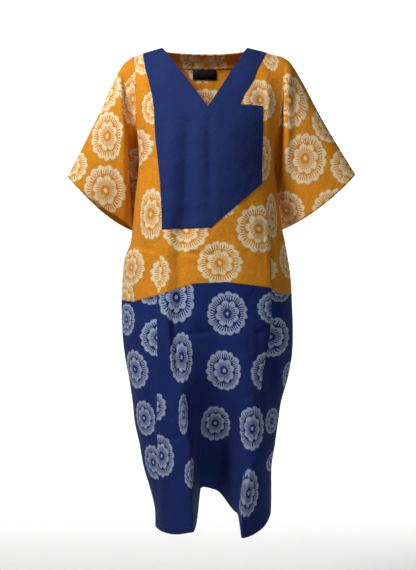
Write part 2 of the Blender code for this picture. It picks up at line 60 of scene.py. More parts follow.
# The neck, the bib's notch, the shoulders and the armholes.
NECK_LEFT = -0.120
NECK_RIGHT = 0.103
NECK_TIP = 0.172
NOTCH_ACROSS = 0.0805
NOTCH_DROP = 0.164
BACK_NECK_DROP = 0.0060
SHOULDER_FALL = 0.0215
SHOULDER_FALL_ENDS = 0.22
SHOULDER_TURN = 45.0
SHOULDER_SMOOTH = 0.03
UNDERARM = 0.296
ARMHOLE_CURVE = 1.5
WIDEST = 0.2255

# The woven label, over the neck facing's lower edge.
LABEL_WIDTH = 0.064
LABEL_HEIGHT = 0.025
LABEL_ACROSS = -0.009
LABEL_TOP = 0.0385
LABEL_COLUMNS = 4
LABEL_ROWS = 2

# Half widths to the left and right, and depths forward and back, at heights down the body.
Girth = namedtuple("Girth", "drop left right front back")
GIRTHS = [
    Girth(0.000, 0.193, 0.187, 0.000, 0.000),
    Girth(0.004, 0.193, 0.188, 0.018, 0.030),
    Girth(0.015, 0.192, 0.190, 0.036, 0.056),
    Girth(0.030, 0.190, 0.192, 0.050, 0.070),
    Girth(0.060, 0.186, 0.193, 0.070, 0.085),
    Girth(0.100, 0.185, 0.191, 0.091, 0.096),
    Girth(0.150, 0.184, 0.188, 0.111, 0.105),
    Girth(0.200, 0.183, 0.183, 0.126, 0.112),
    Girth(0.260, 0.180, 0.176, 0.137, 0.116),
    Girth(0.300, 0.180, 0.173, 0.140, 0.116),
    Girth(0.340, 0.184, 0.177, 0.141, 0.113),
    Girth(0.400, 0.191, 0.184, 0.140, 0.108),
    Girth(0.470, 0.197, 0.194, 0.139, 0.106),
    Girth(0.510, 0.203, 0.202, 0.141, 0.109),
    Girth(0.545, 0.217, 0.208, 0.143, 0.113),
    Girth(0.600, 0.223, 0.216, 0.148, 0.121),
    Girth(0.660, 0.2255, 0.219, 0.153, 0.129),
    Girth(0.730, 0.224, 0.2215, 0.157, 0.136),
    Girth(0.800, 0.217, 0.219, 0.159, 0.140),
    Girth(0.860, 0.206, 0.208, 0.159, 0.141),
    Girth(0.920, 0.197, 0.191, 0.157, 0.140),
    Girth(0.980, 0.190, 0.182, 0.154, 0.138),
    Girth(1.030, 0.179, 0.175, 0.151, 0.136),
    Girth(1.090, 0.168, 0.166, 0.147, 0.133),
    Girth(1.140, 0.153, 0.1655, 0.144, 0.131),
    Girth(1.190, 0.140, 0.165, 0.142, 0.129),
    Girth(1.260, 0.137, 0.160, 0.140, 0.127),
]

# Lines down the front: the bib's edges, then the two pressed pleats below its corners.
# A step is how far the middle's cloth stands over the side's at a pleat.
Line = namedtuple("Line", "drop left strap right left_step right_step")
LINES = [
    Line(0.000, -0.169, 0.1525, 0.170, 0.000, 0.000),
    Line(0.060, -0.159, 0.127, 0.160, 0.000, 0.000),
    Line(0.096, -0.150, 0.1145, 0.150, 0.000, 0.000),
    Line(0.164, -0.137, 0.0805, 0.139, 0.000, 0.000),
    Line(0.230, -0.133, 0.0805, 0.1385, 0.000, 0.000),
    Line(0.361, -0.1195, 0.0805, 0.137, 0.000, 0.000),
    Line(0.478, -0.1143, 0.080, 0.155, 0.001, 0.005),
    Line(0.620, -0.125, 0.078, 0.158, 0.005, 0.010),
    Line(0.760, -0.127, 0.070, 0.147, 0.006, 0.010),
    Line(0.860, -0.128, 0.060, 0.134, 0.006, 0.006),
    Line(0.960, -0.129, 0.055, 0.122, 0.005, 0.000),
    Line(1.260, -0.126, 0.050, 0.118, 0.004, 0.000),
]
PLEAT_RUN = 0.0025

# Heights across the front: the bib's foot, the waist seam, and the hem of the two lobes.
Height = namedtuple("Height", "across drop")
BIB_FOOT = [
    Height(-0.200, 0.420),
    Height(-0.114, 0.478),
    Height(0.007, 0.475),
    Height(0.137, 0.361),
    Height(0.200, 0.420),
]
WAIST = [
    Height(-0.2255, 0.656),
    Height(-0.190, 0.660),
    Height(-0.125, 0.642),
    Height(-0.033, 0.6135),
    Height(0.047, 0.610),
    Height(0.157, 0.6235),
    Height(0.175, 0.636),
    Height(0.219, 0.642),
]
BACK_WAIST = [
    Height(-0.2255, 0.656),
    Height(0.000, 0.640),
    Height(0.219, 0.642),
]
HEM = [
    Height(-0.140, 1.243),
    Height(-0.085, 1.242),
    Height(-0.034, 1.230),
    Height(0.082, 1.251),
    Height(0.120, 1.243),
    Height(0.150, 1.226),
    Height(0.166, 1.206),
]
BACK_HEM = [
    Height(-0.140, 1.243),
    Height(-0.080, 1.222),
    Height(0.000, 1.165),
    Height(0.080, 1.200),
    Height(0.166, 1.205),
]
HEM_RISE = 0.080
SKIRT_TOP = 0.62
SKIRT_FOOT = 1.22
SKIRT_SETTLE = 0.35

# The deep fold down the front skirt: a steep left wall, a floor, a slope up to a shelf, and a ridge.
Valley = namedtuple("Valley", "drop depth left left_run right ridge ridge_run shelf")
VALLEYS = [
    Valley(0.600, 0.000, -0.110, 0.090, -0.020, 0.130, 0.060, 0.00),
    Valley(0.700, 0.014, -0.105, 0.090, -0.010, 0.130, 0.050, 0.00),
    Valley(0.860, 0.050, -0.075, 0.085, 0.010, 0.130, 0.040, 0.00),
    Valley(1.000, 0.110, -0.050, 0.045, 0.030, 0.118, 0.030, 0.03),
    Valley(1.150, 0.175, -0.042, 0.024, 0.022, 0.084, 0.016, 0.30),
    Valley(1.260, 0.200, -0.036, 0.019, 0.018, 0.078, 0.009, 0.42),
]

# Soft ridges (+) and troughs (-), each along a straight line from its top to its foot.
Fold = namedtuple("Fold", "top_x top_drop foot_x foot_drop width depth")
FRONT_FOLDS = [
    Fold(0.002, 0.150, 0.004, 0.470, 0.010, -0.004),
    Fold(-0.160, 0.040, -0.150, 0.300, 0.014, 0.005),
    Fold(0.150, 0.030, 0.158, 0.330, 0.013, 0.006),
    Fold(-0.150, 0.330, -0.160, 0.600, 0.018, 0.007),
    Fold(-0.175, 0.380, -0.185, 0.560, 0.012, -0.005),
    Fold(0.172, 0.340, 0.180, 0.620, 0.014, 0.006),
    Fold(-0.110, 0.620, -0.060, 1.000, 0.018, 0.008),
    Fold(0.090, 0.680, 0.100, 1.230, 0.022, 0.008),
    Fold(-0.160, 0.800, -0.120, 1.200, 0.014, -0.006),
    Fold(0.180, 0.700, 0.150, 1.050, 0.015, -0.007),
]
BACK_FOLDS = [
    Fold(-0.120, 0.080, -0.090, 0.420, 0.018, 0.006),
    Fold(0.125, 0.090, 0.100, 0.400, 0.018, 0.006),
    Fold(-0.060, 0.300, -0.070, 1.150, 0.026, -0.010),
    Fold(0.065, 0.280, 0.080, 1.180, 0.026, -0.011),
    Fold(0.000, 0.340, 0.005, 1.220, 0.030, 0.012),
    Fold(-0.135, 0.500, -0.110, 1.230, 0.020, 0.009),
    Fold(0.140, 0.520, 0.120, 1.230, 0.020, 0.009),
]
FOLD_ENDS = 0.3
FOLD_SIDE_FADE = 0.35
SIDE_SEAM_FROM = 0.02

# Sleeves, from the armhole to the cuff: the tube's top and foot lines and its half depth.
Ring = namedtuple("Ring", "along top_x top_drop foot_x foot_drop foot_y depth")
LEFT_SLEEVE = [
    Ring(0.00, -0.194, 0.0215, -0.182, 0.296, 0.000, 0.058),
    Ring(0.12, -0.217, 0.039, -0.1815, 0.303, 0.013, 0.060),
    Ring(0.30, -0.243, 0.083, -0.1835, 0.335, 0.029, 0.062),
    Ring(0.55, -0.277, 0.160, -0.1890, 0.385, 0.043, 0.060),
    Ring(0.80, -0.324, 0.254, -0.1940, 0.434, 0.050, 0.056),
    Ring(1.00, -0.365, 0.335, -0.202, 0.472, 0.054, 0.052),
]
RIGHT_SLEEVE = [
    Ring(0.00, 0.187, 0.0215, 0.175, 0.296, 0.000, 0.058),
    Ring(0.12, 0.210, 0.036, 0.1745, 0.303, 0.013, 0.060),
    Ring(0.30, 0.241, 0.082, 0.1770, 0.334, 0.029, 0.062),
    Ring(0.55, 0.289, 0.172, 0.1820, 0.382, 0.044, 0.060),
    Ring(0.80, 0.343, 0.264, 0.1890, 0.430, 0.053, 0.056),
    Ring(1.00, 0.384, 0.330, 0.199, 0.469, 0.058, 0.052),
]

# The sleeves' cloth falls back between the armhole seam and a soft ridge beside it.
Gutter = namedtuple("Gutter", "drop across depth run")
LEFT_GUTTER = [
    Gutter(0.040, -0.2250, 0.004, 0.008),
    Gutter(0.100, -0.2210, 0.020, 0.006),
    Gutter(0.157, -0.2170, 0.026, 0.005),
    Gutter(0.216, -0.2105, 0.028, 0.004),
    Gutter(0.250, -0.2090, 0.055, 0.004),
    Gutter(0.330, -0.2075, 0.072, 0.004),
    Gutter(0.430, -0.2050, 0.075, 0.004),
    Gutter(0.480, -0.2050, 0.060, 0.004),
]
RIGHT_GUTTER = [
    Gutter(0.040, 0.1980, 0.004, 0.008),
    Gutter(0.100, 0.1960, 0.018, 0.005),
    Gutter(0.200, 0.1940, 0.026, 0.005),
    Gutter(0.330, 0.1905, 0.034, 0.004),
    Gutter(0.380, 0.1890, 0.020, 0.004),
    Gutter(0.480, 0.1890, 0.000, 0.004),
]
GUTTER_RIDGE = 0.012
GUTTER_RIDGE_OFF = 0.009
GUTTER_RIDGE_WIDTH = 0.013
SLEEVE_SEAM_RINGS = 2

# How far a cuff's front is drawn up, and how far its front and back hang down.
LEFT_CUFF_LIFT = 0.024
LEFT_CUFF_SAG = 0.018
RIGHT_CUFF_LIFT = 0.000
RIGHT_CUFF_SAG = 0.016
CUFF_BEND = 3
ARMHOLE_HOLD = 0.4

# Finer creases of the worn cloth, beside the folds above.
FRONT_CREASES = [
    Fold(-0.152, 0.060, -0.146, 0.240, 0.006, -0.0018),
    Fold(-0.163, 0.180, -0.152, 0.420, 0.007, 0.0022),
    Fold(-0.130, 0.430, -0.140, 0.640, 0.007, -0.0020),
    Fold(0.104, 0.380, 0.092, 0.600, 0.012, -0.0018),
    Fold(0.146, 0.380, 0.150, 0.620, 0.006, 0.0022),
    Fold(0.165, 0.470, 0.172, 0.700, 0.007, -0.0025),
    Fold(-0.092, 0.170, -0.100, 0.560, 0.018, 0.0080),
    Fold(-0.046, 0.140, -0.056, 0.560, 0.020, -0.0110),
    Fold(-0.104, 0.420, -0.106, 0.720, 0.014, 0.0060),
    Fold(-0.072, 0.430, -0.066, 0.800, 0.015, -0.0090),
    Fold(-0.070, 0.300, -0.020, 0.420, 0.016, -0.0024),
    Fold(0.030, 0.300, 0.070, 0.200, 0.016, 0.0012),
    Fold(-0.075, 0.536, 0.046, 0.545, 0.006, -0.0044),
    Fold(-0.060, 0.562, 0.010, 0.577, 0.007, -0.0032),
    Fold(-0.070, 0.742, 0.022, 0.730, 0.006, -0.0050),
    Fold(0.108, 0.740, 0.163, 0.721, 0.006, -0.0044),
    Fold(-0.126, 1.022, -0.060, 0.982, 0.006, -0.0050),
    Fold(-0.120, 0.930, -0.080, 0.950, 0.006, -0.0030),
    Fold(0.060, 0.905, 0.120, 0.890, 0.007, -0.0032),
    Fold(-0.197, 0.513, -0.128, 0.534, 0.006, -0.0050),
    Fold(-0.190, 0.545, -0.140, 0.549, 0.006, -0.0036),
    Fold(-0.195, 0.440, -0.198, 0.760, 0.006, -0.0065),
    Fold(-0.180, 0.460, -0.184, 0.700, 0.008, 0.0035),
    Fold(-0.108, 0.650, -0.083, 0.860, 0.008, 0.0065),
    Fold(-0.093, 0.660, -0.068, 0.880, 0.009, -0.0095),
    Fold(-0.070, 0.860, -0.052, 1.010, 0.007, 0.0040),
    Fold(0.171, 0.640, 0.150, 0.930, 0.010, -0.0090),
    Fold(0.192, 0.660, 0.178, 0.900, 0.009, 0.0050),
    Fold(0.020, 0.640, 0.030, 0.840, 0.014, -0.0026),
    Fold(0.115, 0.640, 0.108, 0.980, 0.009, 0.0024),
    Fold(-0.100, 0.940, -0.096, 1.220, 0.010, -0.0026),
    Fold(-0.110, 1.040, -0.118, 1.230, 0.008, 0.0022),
    Fold(0.105, 1.020, 0.112, 1.220, 0.009, -0.0024),
    Fold(-0.185, 0.680, -0.150, 0.960, 0.009, 0.0030),
    Fold(0.195, 0.660, 0.165, 0.980, 0.009, 0.0028),
    Fold(0.150, 0.800, 0.135, 1.180, 0.008, 0.0024),
]
BACK_CREASES = [
    Fold(-0.090, 0.060, -0.060, 0.200, 0.009, -0.0020),
    Fold(0.095, 0.060, 0.055, 0.220, 0.009, -0.0022),
    Fold(-0.030, 0.250, -0.035, 0.560, 0.012, 0.0024),
    Fold(0.030, 0.280, 0.040, 0.600, 0.012, 0.0026),
    Fold(-0.150, 0.300, -0.140, 0.640, 0.010, -0.0026),
    Fold(0.150, 0.320, 0.146, 0.660, 0.010, -0.0024),
    Fold(-0.100, 0.640, -0.090, 1.140, 0.012, 0.0030),
    Fold(0.105, 0.640, 0.098, 1.160, 0.012, 0.0032),
    Fold(0.030, 0.660, 0.040, 1.120, 0.012, -0.0028),
    Fold(-0.030, 0.660, -0.022, 1.130, 0.012, -0.0026),
    Fold(-0.080, 0.735, 0.060, 0.742, 0.008, -0.0014),
    Fold(-0.170, 0.700, -0.145, 1.050, 0.010, 0.0028),
]

# Low waves across and down the cloth, with radians a metre and heights in metres.
Rumple = namedtuple("Rumple", "across drop start drift height")
RUMPLES = [
    Rumple(61.0, 13.0, 0.4, 9.0, 0.00075),
    Rumple(-38.0, 29.0, 2.1, 14.0, 0.00070),
    Rumple(24.0, 71.0, 4.0, 11.0, 0.00050),
    Rumple(97.0, -22.0, 1.2, 17.0, 0.00040),
    Rumple(9.0, 113.0, 5.1, 21.0, 0.00030),
]
RUMPLE_BEND = 1.3

# How finely the cloth is parted into rows and columns, the first row just below the shoulder line.
FIRST_ROW_DROP = 0.0002
SHOULDER_ROWS = 40
SHOULDER_ROWS_BUNCH = 1.35
CHEST_ROWS = 60
WAIST_ROWS = 35
SKIRT_ROWS = 125
SIDE_COLUMNS = 28
BIB_LEFT_COLUMNS = 46
STRAP_COLUMNS = 22
BIB_RIGHT_COLUMNS = 30
PLEAT_COLUMNS = 2
BACK_SHOULDER_COLUMNS = 18
BACK_NECK_COLUMNS = 24
SLEEVE_RINGS = 56
SIDE_LIP_SHARE = 0.03
FACING_ROWS = 14
SECTION_SAMPLES = 481
SETTLE_STEPS = 4

# Flowers of the print that show from the front, as they seem to lie and measure at the depth of
# the shoulder line: where the cloth shows them, half their width and height, how far across and
# down from there their middle lies, where that is hidden round an edge or in a fold, and how far
# they are turned. A zone is -1 left of the left pleat, 1 right of the right pleat, 0 between.
Flower = namedtuple("Flower", "zone across drop wide tall beside below turn")
FRONT_UPPER_FLOWERS = [
    Flower(0, -0.175, 0.024, 0.050, 0.047, 0.013, -0.008, 40),
    Flower(0, -0.146, 0.147, 0.037, 0.046, 0.000, 0.000, 20),
    Flower(0, -0.179, 0.257, 0.052, 0.052, -0.026, 0.000, 75),
    Flower(0, -0.097, 0.301, 0.047, 0.047, 0.000, 0.000, 110),
    Flower(-1, -0.154, 0.429, 0.042, 0.067, 0.000, 0.000, 60),
    Flower(0, -0.063, 0.471, 0.059, 0.057, 0.000, 0.000, 10),
    Flower(-1, -0.207, 0.570, 0.027, 0.050, 0.000, 0.000, 90),
    Flower(-1, -0.221, 0.651, 0.029, 0.044, -0.008, 0.000, 15),
    Flower(-1, -0.136, 0.586, 0.046, 0.053, 0.031, 0.000, 30),
    Flower(0, -0.123, 0.586, 0.046, 0.053, -0.031, 0.000, 200),
    Flower(0, 0.037, 0.557, 0.059, 0.056, 0.000, 0.000, 150),
    Flower(0, 0.138, 0.466, 0.054, 0.063, 0.000, 0.000, 35),
    Flower(1, 0.175, 0.439, 0.017, 0.060, 0.000, 0.000, 80),
    Flower(1, 0.170, 0.573, 0.037, 0.046, -0.021, 0.000, 15),
    Flower(1, 0.206, 0.557, 0.026, 0.047, 0.013, 0.000, 120),
    Flower(0, 0.141, 0.129, 0.044, 0.057, 0.000, 0.000, 45),
    Flower(0, 0.162, 0.011, 0.023, 0.037, 0.000, 0.000, 0),
    Flower(0, 0.147, 0.283, 0.031, 0.060, 0.000, 0.000, 100),
    Flower(0, 0.034, 0.392, 0.057, 0.057, 0.000, 0.000, 70),
]
LEFT_SLEEVE_FLOWERS = [
    Flower(0, -0.269, 0.228, 0.045, 0.065, 0.000, 0.000, 25),
    Flower(0, -0.256, 0.111, 0.042, 0.057, -0.023, 0.000, 130),
    Flower(0, -0.264, 0.374, 0.054, 0.065, 0.000, 0.000, 80),
    Flower(0, -0.349, 0.306, 0.042, 0.044, -0.016, 0.000, 0),
    Flower(0, -0.201, 0.137, 0.037, 0.068, 0.000, 0.000, 50),
]
RIGHT_SLEEVE_FLOWERS = [
    Flower(0, 0.219, 0.134, 0.050, 0.073, 0.000, 0.000, 60),
    Flower(0, 0.251, 0.291, 0.055, 0.066, 0.000, 0.000, 15),
    Flower(0, 0.292, 0.191, 0.044, 0.050, 0.029, 0.000, 95),
    Flower(0, 0.368, 0.306, 0.047, 0.050, 0.008, 0.000, 140),
    Flower(0, 0.319, 0.390, 0.052, 0.057, 0.000, 0.034, 30),
    Flower(0, 0.198, 0.426, 0.042, 0.050, 0.000, 0.000, 75),
]
BACK_UPPER_FLOWERS = [
    Flower(0, -0.013, 0.022, 0.060, 0.042, 0.000, 0.000, 20),
    Flower(0, -0.003, 0.168, 0.055, 0.055, 0.000, 0.000, 90),
]
FRONT_SKIRT_FLOWERS = [
    Flower(-1, -0.214, 0.703, 0.029, 0.043, -0.008, 0.000, 20),
    Flower(-1, -0.154, 0.656, 0.039, 0.044, 0.000, -0.026, 75),
    Flower(-1, -0.140, 0.752, 0.035, 0.050, 0.000, 0.000, 130),
    Flower(0, -0.077, 0.646, 0.043, 0.068, 0.000, 0.000, 0),
    Flower(0, 0.046, 0.698, 0.053, 0.058, 0.000, 0.000, 15),
    Flower(0, 0.036, 0.843, 0.045, 0.055, 0.000, 0.000, 60),
    Flower(0, 0.151, 0.677, 0.042, 0.042, 0.026, 0.000, 100),
    Flower(1, 0.172, 0.752, 0.041, 0.053, 0.000, 0.000, 45),
    Flower(0, -0.069, 0.802, 0.030, 0.067, 0.000, 0.000, 85),
    Flower(0, 0.141, 0.842, 0.042, 0.051, 0.018, 0.000, 5),
    Flower(-1, -0.195, 0.842, 0.031, 0.051, 0.000, 0.000, 95),
    Flower(-1, -0.172, 0.968, 0.030, 0.047, 0.000, 0.000, 10),
    Flower(0, -0.133, 0.933, 0.042, 0.044, -0.026, 0.000, 70),
    Flower(0, -0.063, 0.962, 0.014, 0.055, 0.000, 0.000, 140),
    Flower(0, 0.021, 0.983, 0.042, 0.050, 0.000, 0.000, 110),
    Flower(0, 0.122, 0.996, 0.039, 0.059, 0.000, 0.000, 35),
    Flower(1, 0.122, 0.996, 0.039, 0.059, 0.000, 0.000, 35),
    Flower(1, 0.175, 0.970, 0.021, 0.034, 0.000, 0.000, 25),
    Flower(-1, -0.149, 1.084, 0.029, 0.046, 0.000, 0.000, 125),
    Flower(0, -0.128, 1.064, 0.030, 0.057, 0.000, 0.000, 30),
    Flower(0, -0.044, 1.116, 0.018, 0.040, 0.005, 0.000, 50),
    Flower(1, 0.162, 1.084, 0.021, 0.026, 0.018, 0.000, 80),
    Flower(0, 0.110, 1.165, 0.027, 0.063, 0.000, 0.000, 135),
    Flower(1, 0.110, 1.165, 0.027, 0.063, 0.000, 0.000, 135),
    Flower(1, 0.196, 0.651, 0.034, 0.034, 0.000, -0.023, 55),
    Flower(1, 0.205, 0.855, 0.016, 0.034, 0.013, 0.000, 115),
]

# The pleats part the print from these drops down.
LEFT_PLEAT_FROM = 0.478
RIGHT_PLEAT_FROM = 0.361
# How near a point lies to count as seen there, and the least share of a size that slant can leave.
SEEN_WITHIN = 0.008
LEAST_SHOWN = 0.5
# How far a flower reaches from its middle, straight and round the cloth, in its own radii, and
# a place that is clear of every flower.
FLOWER_REACH = 1.3
FLOWER_ARC = 1.6
FAR_FROM_FLOWERS = 5.0

# Flowers elsewhere lie on a staggered lattice, each turned a little more than the last.
FLOWER_RADIUS = 0.057
FLOWER_PITCH = 0.149
FLOWER_ROWS = 0.129
FLOWER_APART = 0.128
LATTICE_START = 0.4
LATTICE_TURN = 37
ROW_TURNS = 5
COLUMN_TURNS = 3

# Where the lattice's flowers begin: round the sides, down to a height, and behind the sleeves.
SIDE_HIDDEN = 0.93
SIDE_PLAIN_FROM = 1.06
SLEEVE_HIDDEN = 0.012

# The print's flower, in shares of its radius: a scalloped ring, combed inside, then a small
# flower of petals with a combed heart, and a dot.
SCALLOPS = 15
SCALLOP_FOOT = 0.87
SCALLOP_HEIGHT = 0.13
COMB_TEETH = 44
COMB_FOOT = 0.64
COMB_HEIGHT = 0.20
PETALS = 8
PETAL_FOOT = 0.42
PETAL_HEIGHT = 0.18
HEART_TEETH = 26
HEART_FOOT = 0.22
HEART_HEIGHT = 0.20
HEART_FULLNESS = 0.1
DOT = 0.085
LOBE_ROUNDNESS = 0.55
TOOTH_SOFTNESS = 0.30
RESIST_SOFTNESS = 0.03
RESIST_DRIFT = 0.15
RESIST_DRIFT_FINENESS = 60.0
RESIST_FRAY = 0.09
RESIST_FRAY_FINENESS = 420.0
RESIST_TWIST = 0.25

# The weave: noise cells a metre across a thread and along it, and thicker slubs.
THREAD_FINENESS = 1900.0
THREAD_EVENNESS = 60.0
SLUB_FINENESS = 420.0
SLUB_EVENNESS = 25.0
SLUB_SHARE = 0.8
# The weave's colour is painted shade in its low places and painted light on its high ones, together
# with the slubs' own darker and lighter tone. Below: how much of it counts, and its dark and light
# ends.
THREAD_SHARE = 0.36
SHADED_WEAVE_AND_DARK_SLUB = (0.62, 0.62, 0.62, 1)
LIT_WEAVE_AND_LIGHT_SLUB = (1.32, 1.32, 1.32, 1)

# The wear: noise cells a metre of the fine creases and the dye's patches and mottles, how soft
# the creases are, and how much the mottles count. Then how well the resist kept the dye out.
CREASE_FINENESS = 16.0
CREASE_SOFTNESS = 0.003
PATCH_FINENESS = 9.0
MOTTLE_FINENESS = (90.0, 260.0)
MOTTLE_SHARE = 1.5
RESIST_COVER = 0.78
RESIST_UNEVENNESS = 0.25

# Sewing thread: noise cells a metre of its plies, and how dark the painted shade between them is.
PLY_FINENESS = 2500.0
PLY_PAINTED_SHADE = 0.7

# The photo's place of view, and the paper that sweeps up behind the dress.
CAMERA_BACK = 2.7
CAMERA_DROP = 0.617
CAMERA_LENS = 65.3
FLOOR = -1.8
BACKDROP = 6.2
PAPER_SIZE = 16
PAPER_HEIGHT = 7
PAPER_SWEEP = 1.5
PAPER_NEAR = 0.01
PAPER_GRAIN = 40.0
PAPER_DARK = (0.86, 0.86, 0.86, 1)
PAPER_LIGHT = (0.9, 0.9, 0.9, 1)

# A soft light from the upper left, a weak one from the front, and two on the paper.
Light = namedtuple("Light", "name place aim size power colour")
LIGHTS = [
    Light("key", (-1.15, -1.25, 1.0), (0, 0, -0.35), 0.45, 44, (1.0, 0.985, 0.96)),
    Light("fill", (1.0, -2.8, -0.3), (0, 0, -0.3), 2.0, 11, (0.97, 0.98, 1.0)),
    Light("backdrop_left", (-2.9, 3.6, 1.8), (-0.9, 6.0, -0.9), 2.0, 170, (1, 1, 1)),
    Light("backdrop_right", (2.9, 3.6, 1.8), (0.9, 6.0, -0.9), 2.0, 170, (1, 1, 1)),
]

# A sewn line: the cloth from its edge on, how far in the line runs, the wall over the grid's
# points, and a place inside the tube, or None where the line faces the front.
Sewn = namedtuple("Sewn", "grid distance wall around")
STITCH_LENGTH = 0.0030
STITCH_PITCH = 0.0038
THREAD = 0.0006
EDGE_STITCH = 0.0030
HEM_STITCH = 0.0140

# What each piece was cut to, in metres and square metres.
Cut = namedtuple("Cut", "node width length area held rests_on")
CUTS = [
    Cut("front_upper", 0.57, 0.66, 0.288, "hung", ["back_upper_cloth"]),
    Cut("back_upper", 0.48, 0.66, 0.300, "hung", ["front_upper_cloth"]),
    Cut("sleeve_left", 0.60, 0.32, 0.125, "hung", ["front_upper_cloth", "back_upper_cloth"]),
    Cut("sleeve_right", 0.60, 0.32, 0.134, "hung", ["front_upper_cloth", "back_upper_cloth"]),
    Cut("bib", 0.32, 0.48, 0.109, "laid", ["front_upper_cloth"]),
    Cut("front_skirt", 0.72, 0.62, 0.364, "hung", ["front_upper_cloth"]),
    Cut("back_skirt", 0.50, 0.60, 0.295, "hung", ["back_upper_cloth"]),
    Cut("neck_facing", 0.24, 0.045, None, "laid", ["back_upper_cloth"]),
    Cut("neck_label", 0.064, 0.025, None, "laid", ["neck_facing_cloth"]),
]

# The dyes where they took well and badly, the undyed flowers, the threads and the label.
ORANGE_LIGHT = (0.84, 0.335, 0.018, 1)
ORANGE_DARK = (0.60, 0.205, 0.010, 1)
CREAM = (0.88, 0.77, 0.50, 1)
NAVY_LIGHT = (0.012, 0.031, 0.178, 1)
NAVY_DARK = (0.008, 0.020, 0.112, 1)
PALE_BLUE = (0.385, 0.465, 0.64, 1)
PLAIN_LIGHT = (0.016, 0.034, 0.155, 1)
PLAIN_DARK = (0.011, 0.024, 0.115, 1)
ORANGE_THREAD = (0.80, 0.36, 0.040, 1)
NAVY_THREAD = (0.030, 0.052, 0.210, 1)
BLACK_LIGHT = (0.012, 0.012, 0.014, 1)
BLACK_DARK = (0.007, 0.007, 0.008, 1)


def curve(stops, values, at):
    """A smooth curve through a table's values, level beyond its ends."""
    stops = np.asarray(stops, float)
    values = np.asarray(values, float)
    slopes = np.gradient(values, stops)
    i = np.clip(np.searchsorted(stops, at) - 1, 0, len(stops) - 2)
    width = stops[i + 1] - stops[i]
    t = np.clip((at - stops[i]) / width, 0, 1)
    start = (1 + 2 * t) * (1 - t) ** 2 * values[i] + t * (1 - t) ** 2 * width * slopes[i]
    end = t**2 * (3 - 2 * t) * values[i + 1] + t**2 * (t - 1) * width * slopes[i + 1]
    return start + end


def column(table, key, name, at):
    """One named column of a table as a smooth curve over its key column."""
    return curve([getattr(row, key) for row in table], [getattr(row, name) for row in table], at)


def straight(table, at):
    """Heights across the dress, in straight lines from row to row."""
    return np.interp(at, [row.across for row in table], [row.drop for row in table])


def ease(share):
    """0 to 1 with soft ends."""
    share = np.clip(share, 0, 1)
    return share * share * (3 - 2 * share)


def girth(name, drop):
    """A body size at a height. The square root makes the shoulder line a rounded ridge."""
    roots = [math.sqrt(row.drop) for row in GIRTHS]
    return curve(roots, [getattr(row, name) for row in GIRTHS], np.sqrt(np.maximum(drop, 0)))


def edge_turn(drop):
    """Where a panel ends: at the armhole, and below it at the side seam."""
    share = np.clip(drop / UNDERARM, 0, 1) ** ARMHOLE_CURVE
    return np.radians(SHOULDER_TURN + (90 - SHOULDER_TURN) * share)


def reach(is_right, drop):
    """The half width that the body's section would have if it went on to 90 degrees."""
    half = np.where(is_right, girth("right", drop), girth("left", drop))
    return half / np.sin(edge_turn(drop))


def turn_at(across, drop):
    """The angle round the body at a place across it."""
    return np.arcsin(np.clip(across / reach(across > 0, drop), -1, 1))


def valley_parts(across, drop):
    """How far a place is down the deep fold's left wall, up its slope, and before its ridge."""

    def value(name):
        return column(VALLEYS, "drop", name, drop)

    wall = ease((across - value("left")) / value("left_run"))
    slope = ease((across - value("right")) / (value("ridge") - value("right")))
    before_ridge = 1 - ease((across - value("ridge")) / value("ridge_run") + 0.5)
    return wall, 1 - (1 - value("shelf")) * slope, before_ridge


def valley_share(across, drop):
    """How much of the deep fold's depth a place has, 0 to 1."""
    wall, slope, before_ridge = valley_parts(across, drop)
    return wall * slope * before_ridge


def hem_rise(across, drop):
    """How far the hem is drawn up inside the deep fold."""
    wall, slope, before_ridge = valley_parts(across, drop)
    return HEM_RISE * wall**3 * np.sqrt(slope * before_ridge)


def fold_heights(folds, across, drop):
    """How far a list of folds stands out at a place."""
    total = np.zeros(np.broadcast(across, drop).shape)
    for fold in folds:
        along_x = fold.foot_x - fold.top_x
        along_d = fold.foot_drop - fold.top_drop
        length = math.hypot(along_x, along_d)
        from_x = across - fold.top_x
        from_d = drop - fold.top_drop
        share = (from_x * along_x + from_d * along_d) / length**2
        off = (from_x * along_d - from_d * along_x) / length
        ends = ease(share / FOLD_ENDS) * ease((1 - share) / FOLD_ENDS)
        total = total + fold.depth * ends * np.exp(-((off / fold.width) ** 2))
    return total


def rumple(across, drop):
    """The low, uneven waviness of worn cotton."""
    total = np.zeros(np.broadcast(across, drop).shape)
    for wave in RUMPLES:
        along = wave.across * across + wave.drop * drop
        swell = np.sin(along + wave.start + RUMPLE_BEND * np.sin(wave.drift * (across - drop)))
        total = total + wave.height * swell
    return total


def relief(across, drop, facing):
    """How far the cloth stands out from the plain body, forward or back."""
    creases = fold_heights(BACK_CREASES if facing == BACK else FRONT_CREASES, across, drop)
    creases = creases + rumple(across, drop)
    if facing == BACK:
        return fold_heights(BACK_FOLDS, across, drop) + creases
    left_pleat = ease((across - column(LINES, "drop", "left", drop)) / PLEAT_RUN + 0.5)
    right_pleat = ease((column(LINES, "drop", "right", drop) - across) / PLEAT_RUN + 0.5)
    left_under = column(LINES, "drop", "left_step", drop) * (1 - left_pleat)
    right_under = column(LINES, "drop", "right_step", drop) * (1 - right_pleat)
    valley = column(VALLEYS, "drop", "depth", drop) * valley_share(across, drop)
    return fold_heights(FRONT_FOLDS, across, drop) + creases - left_under - right_under - valley


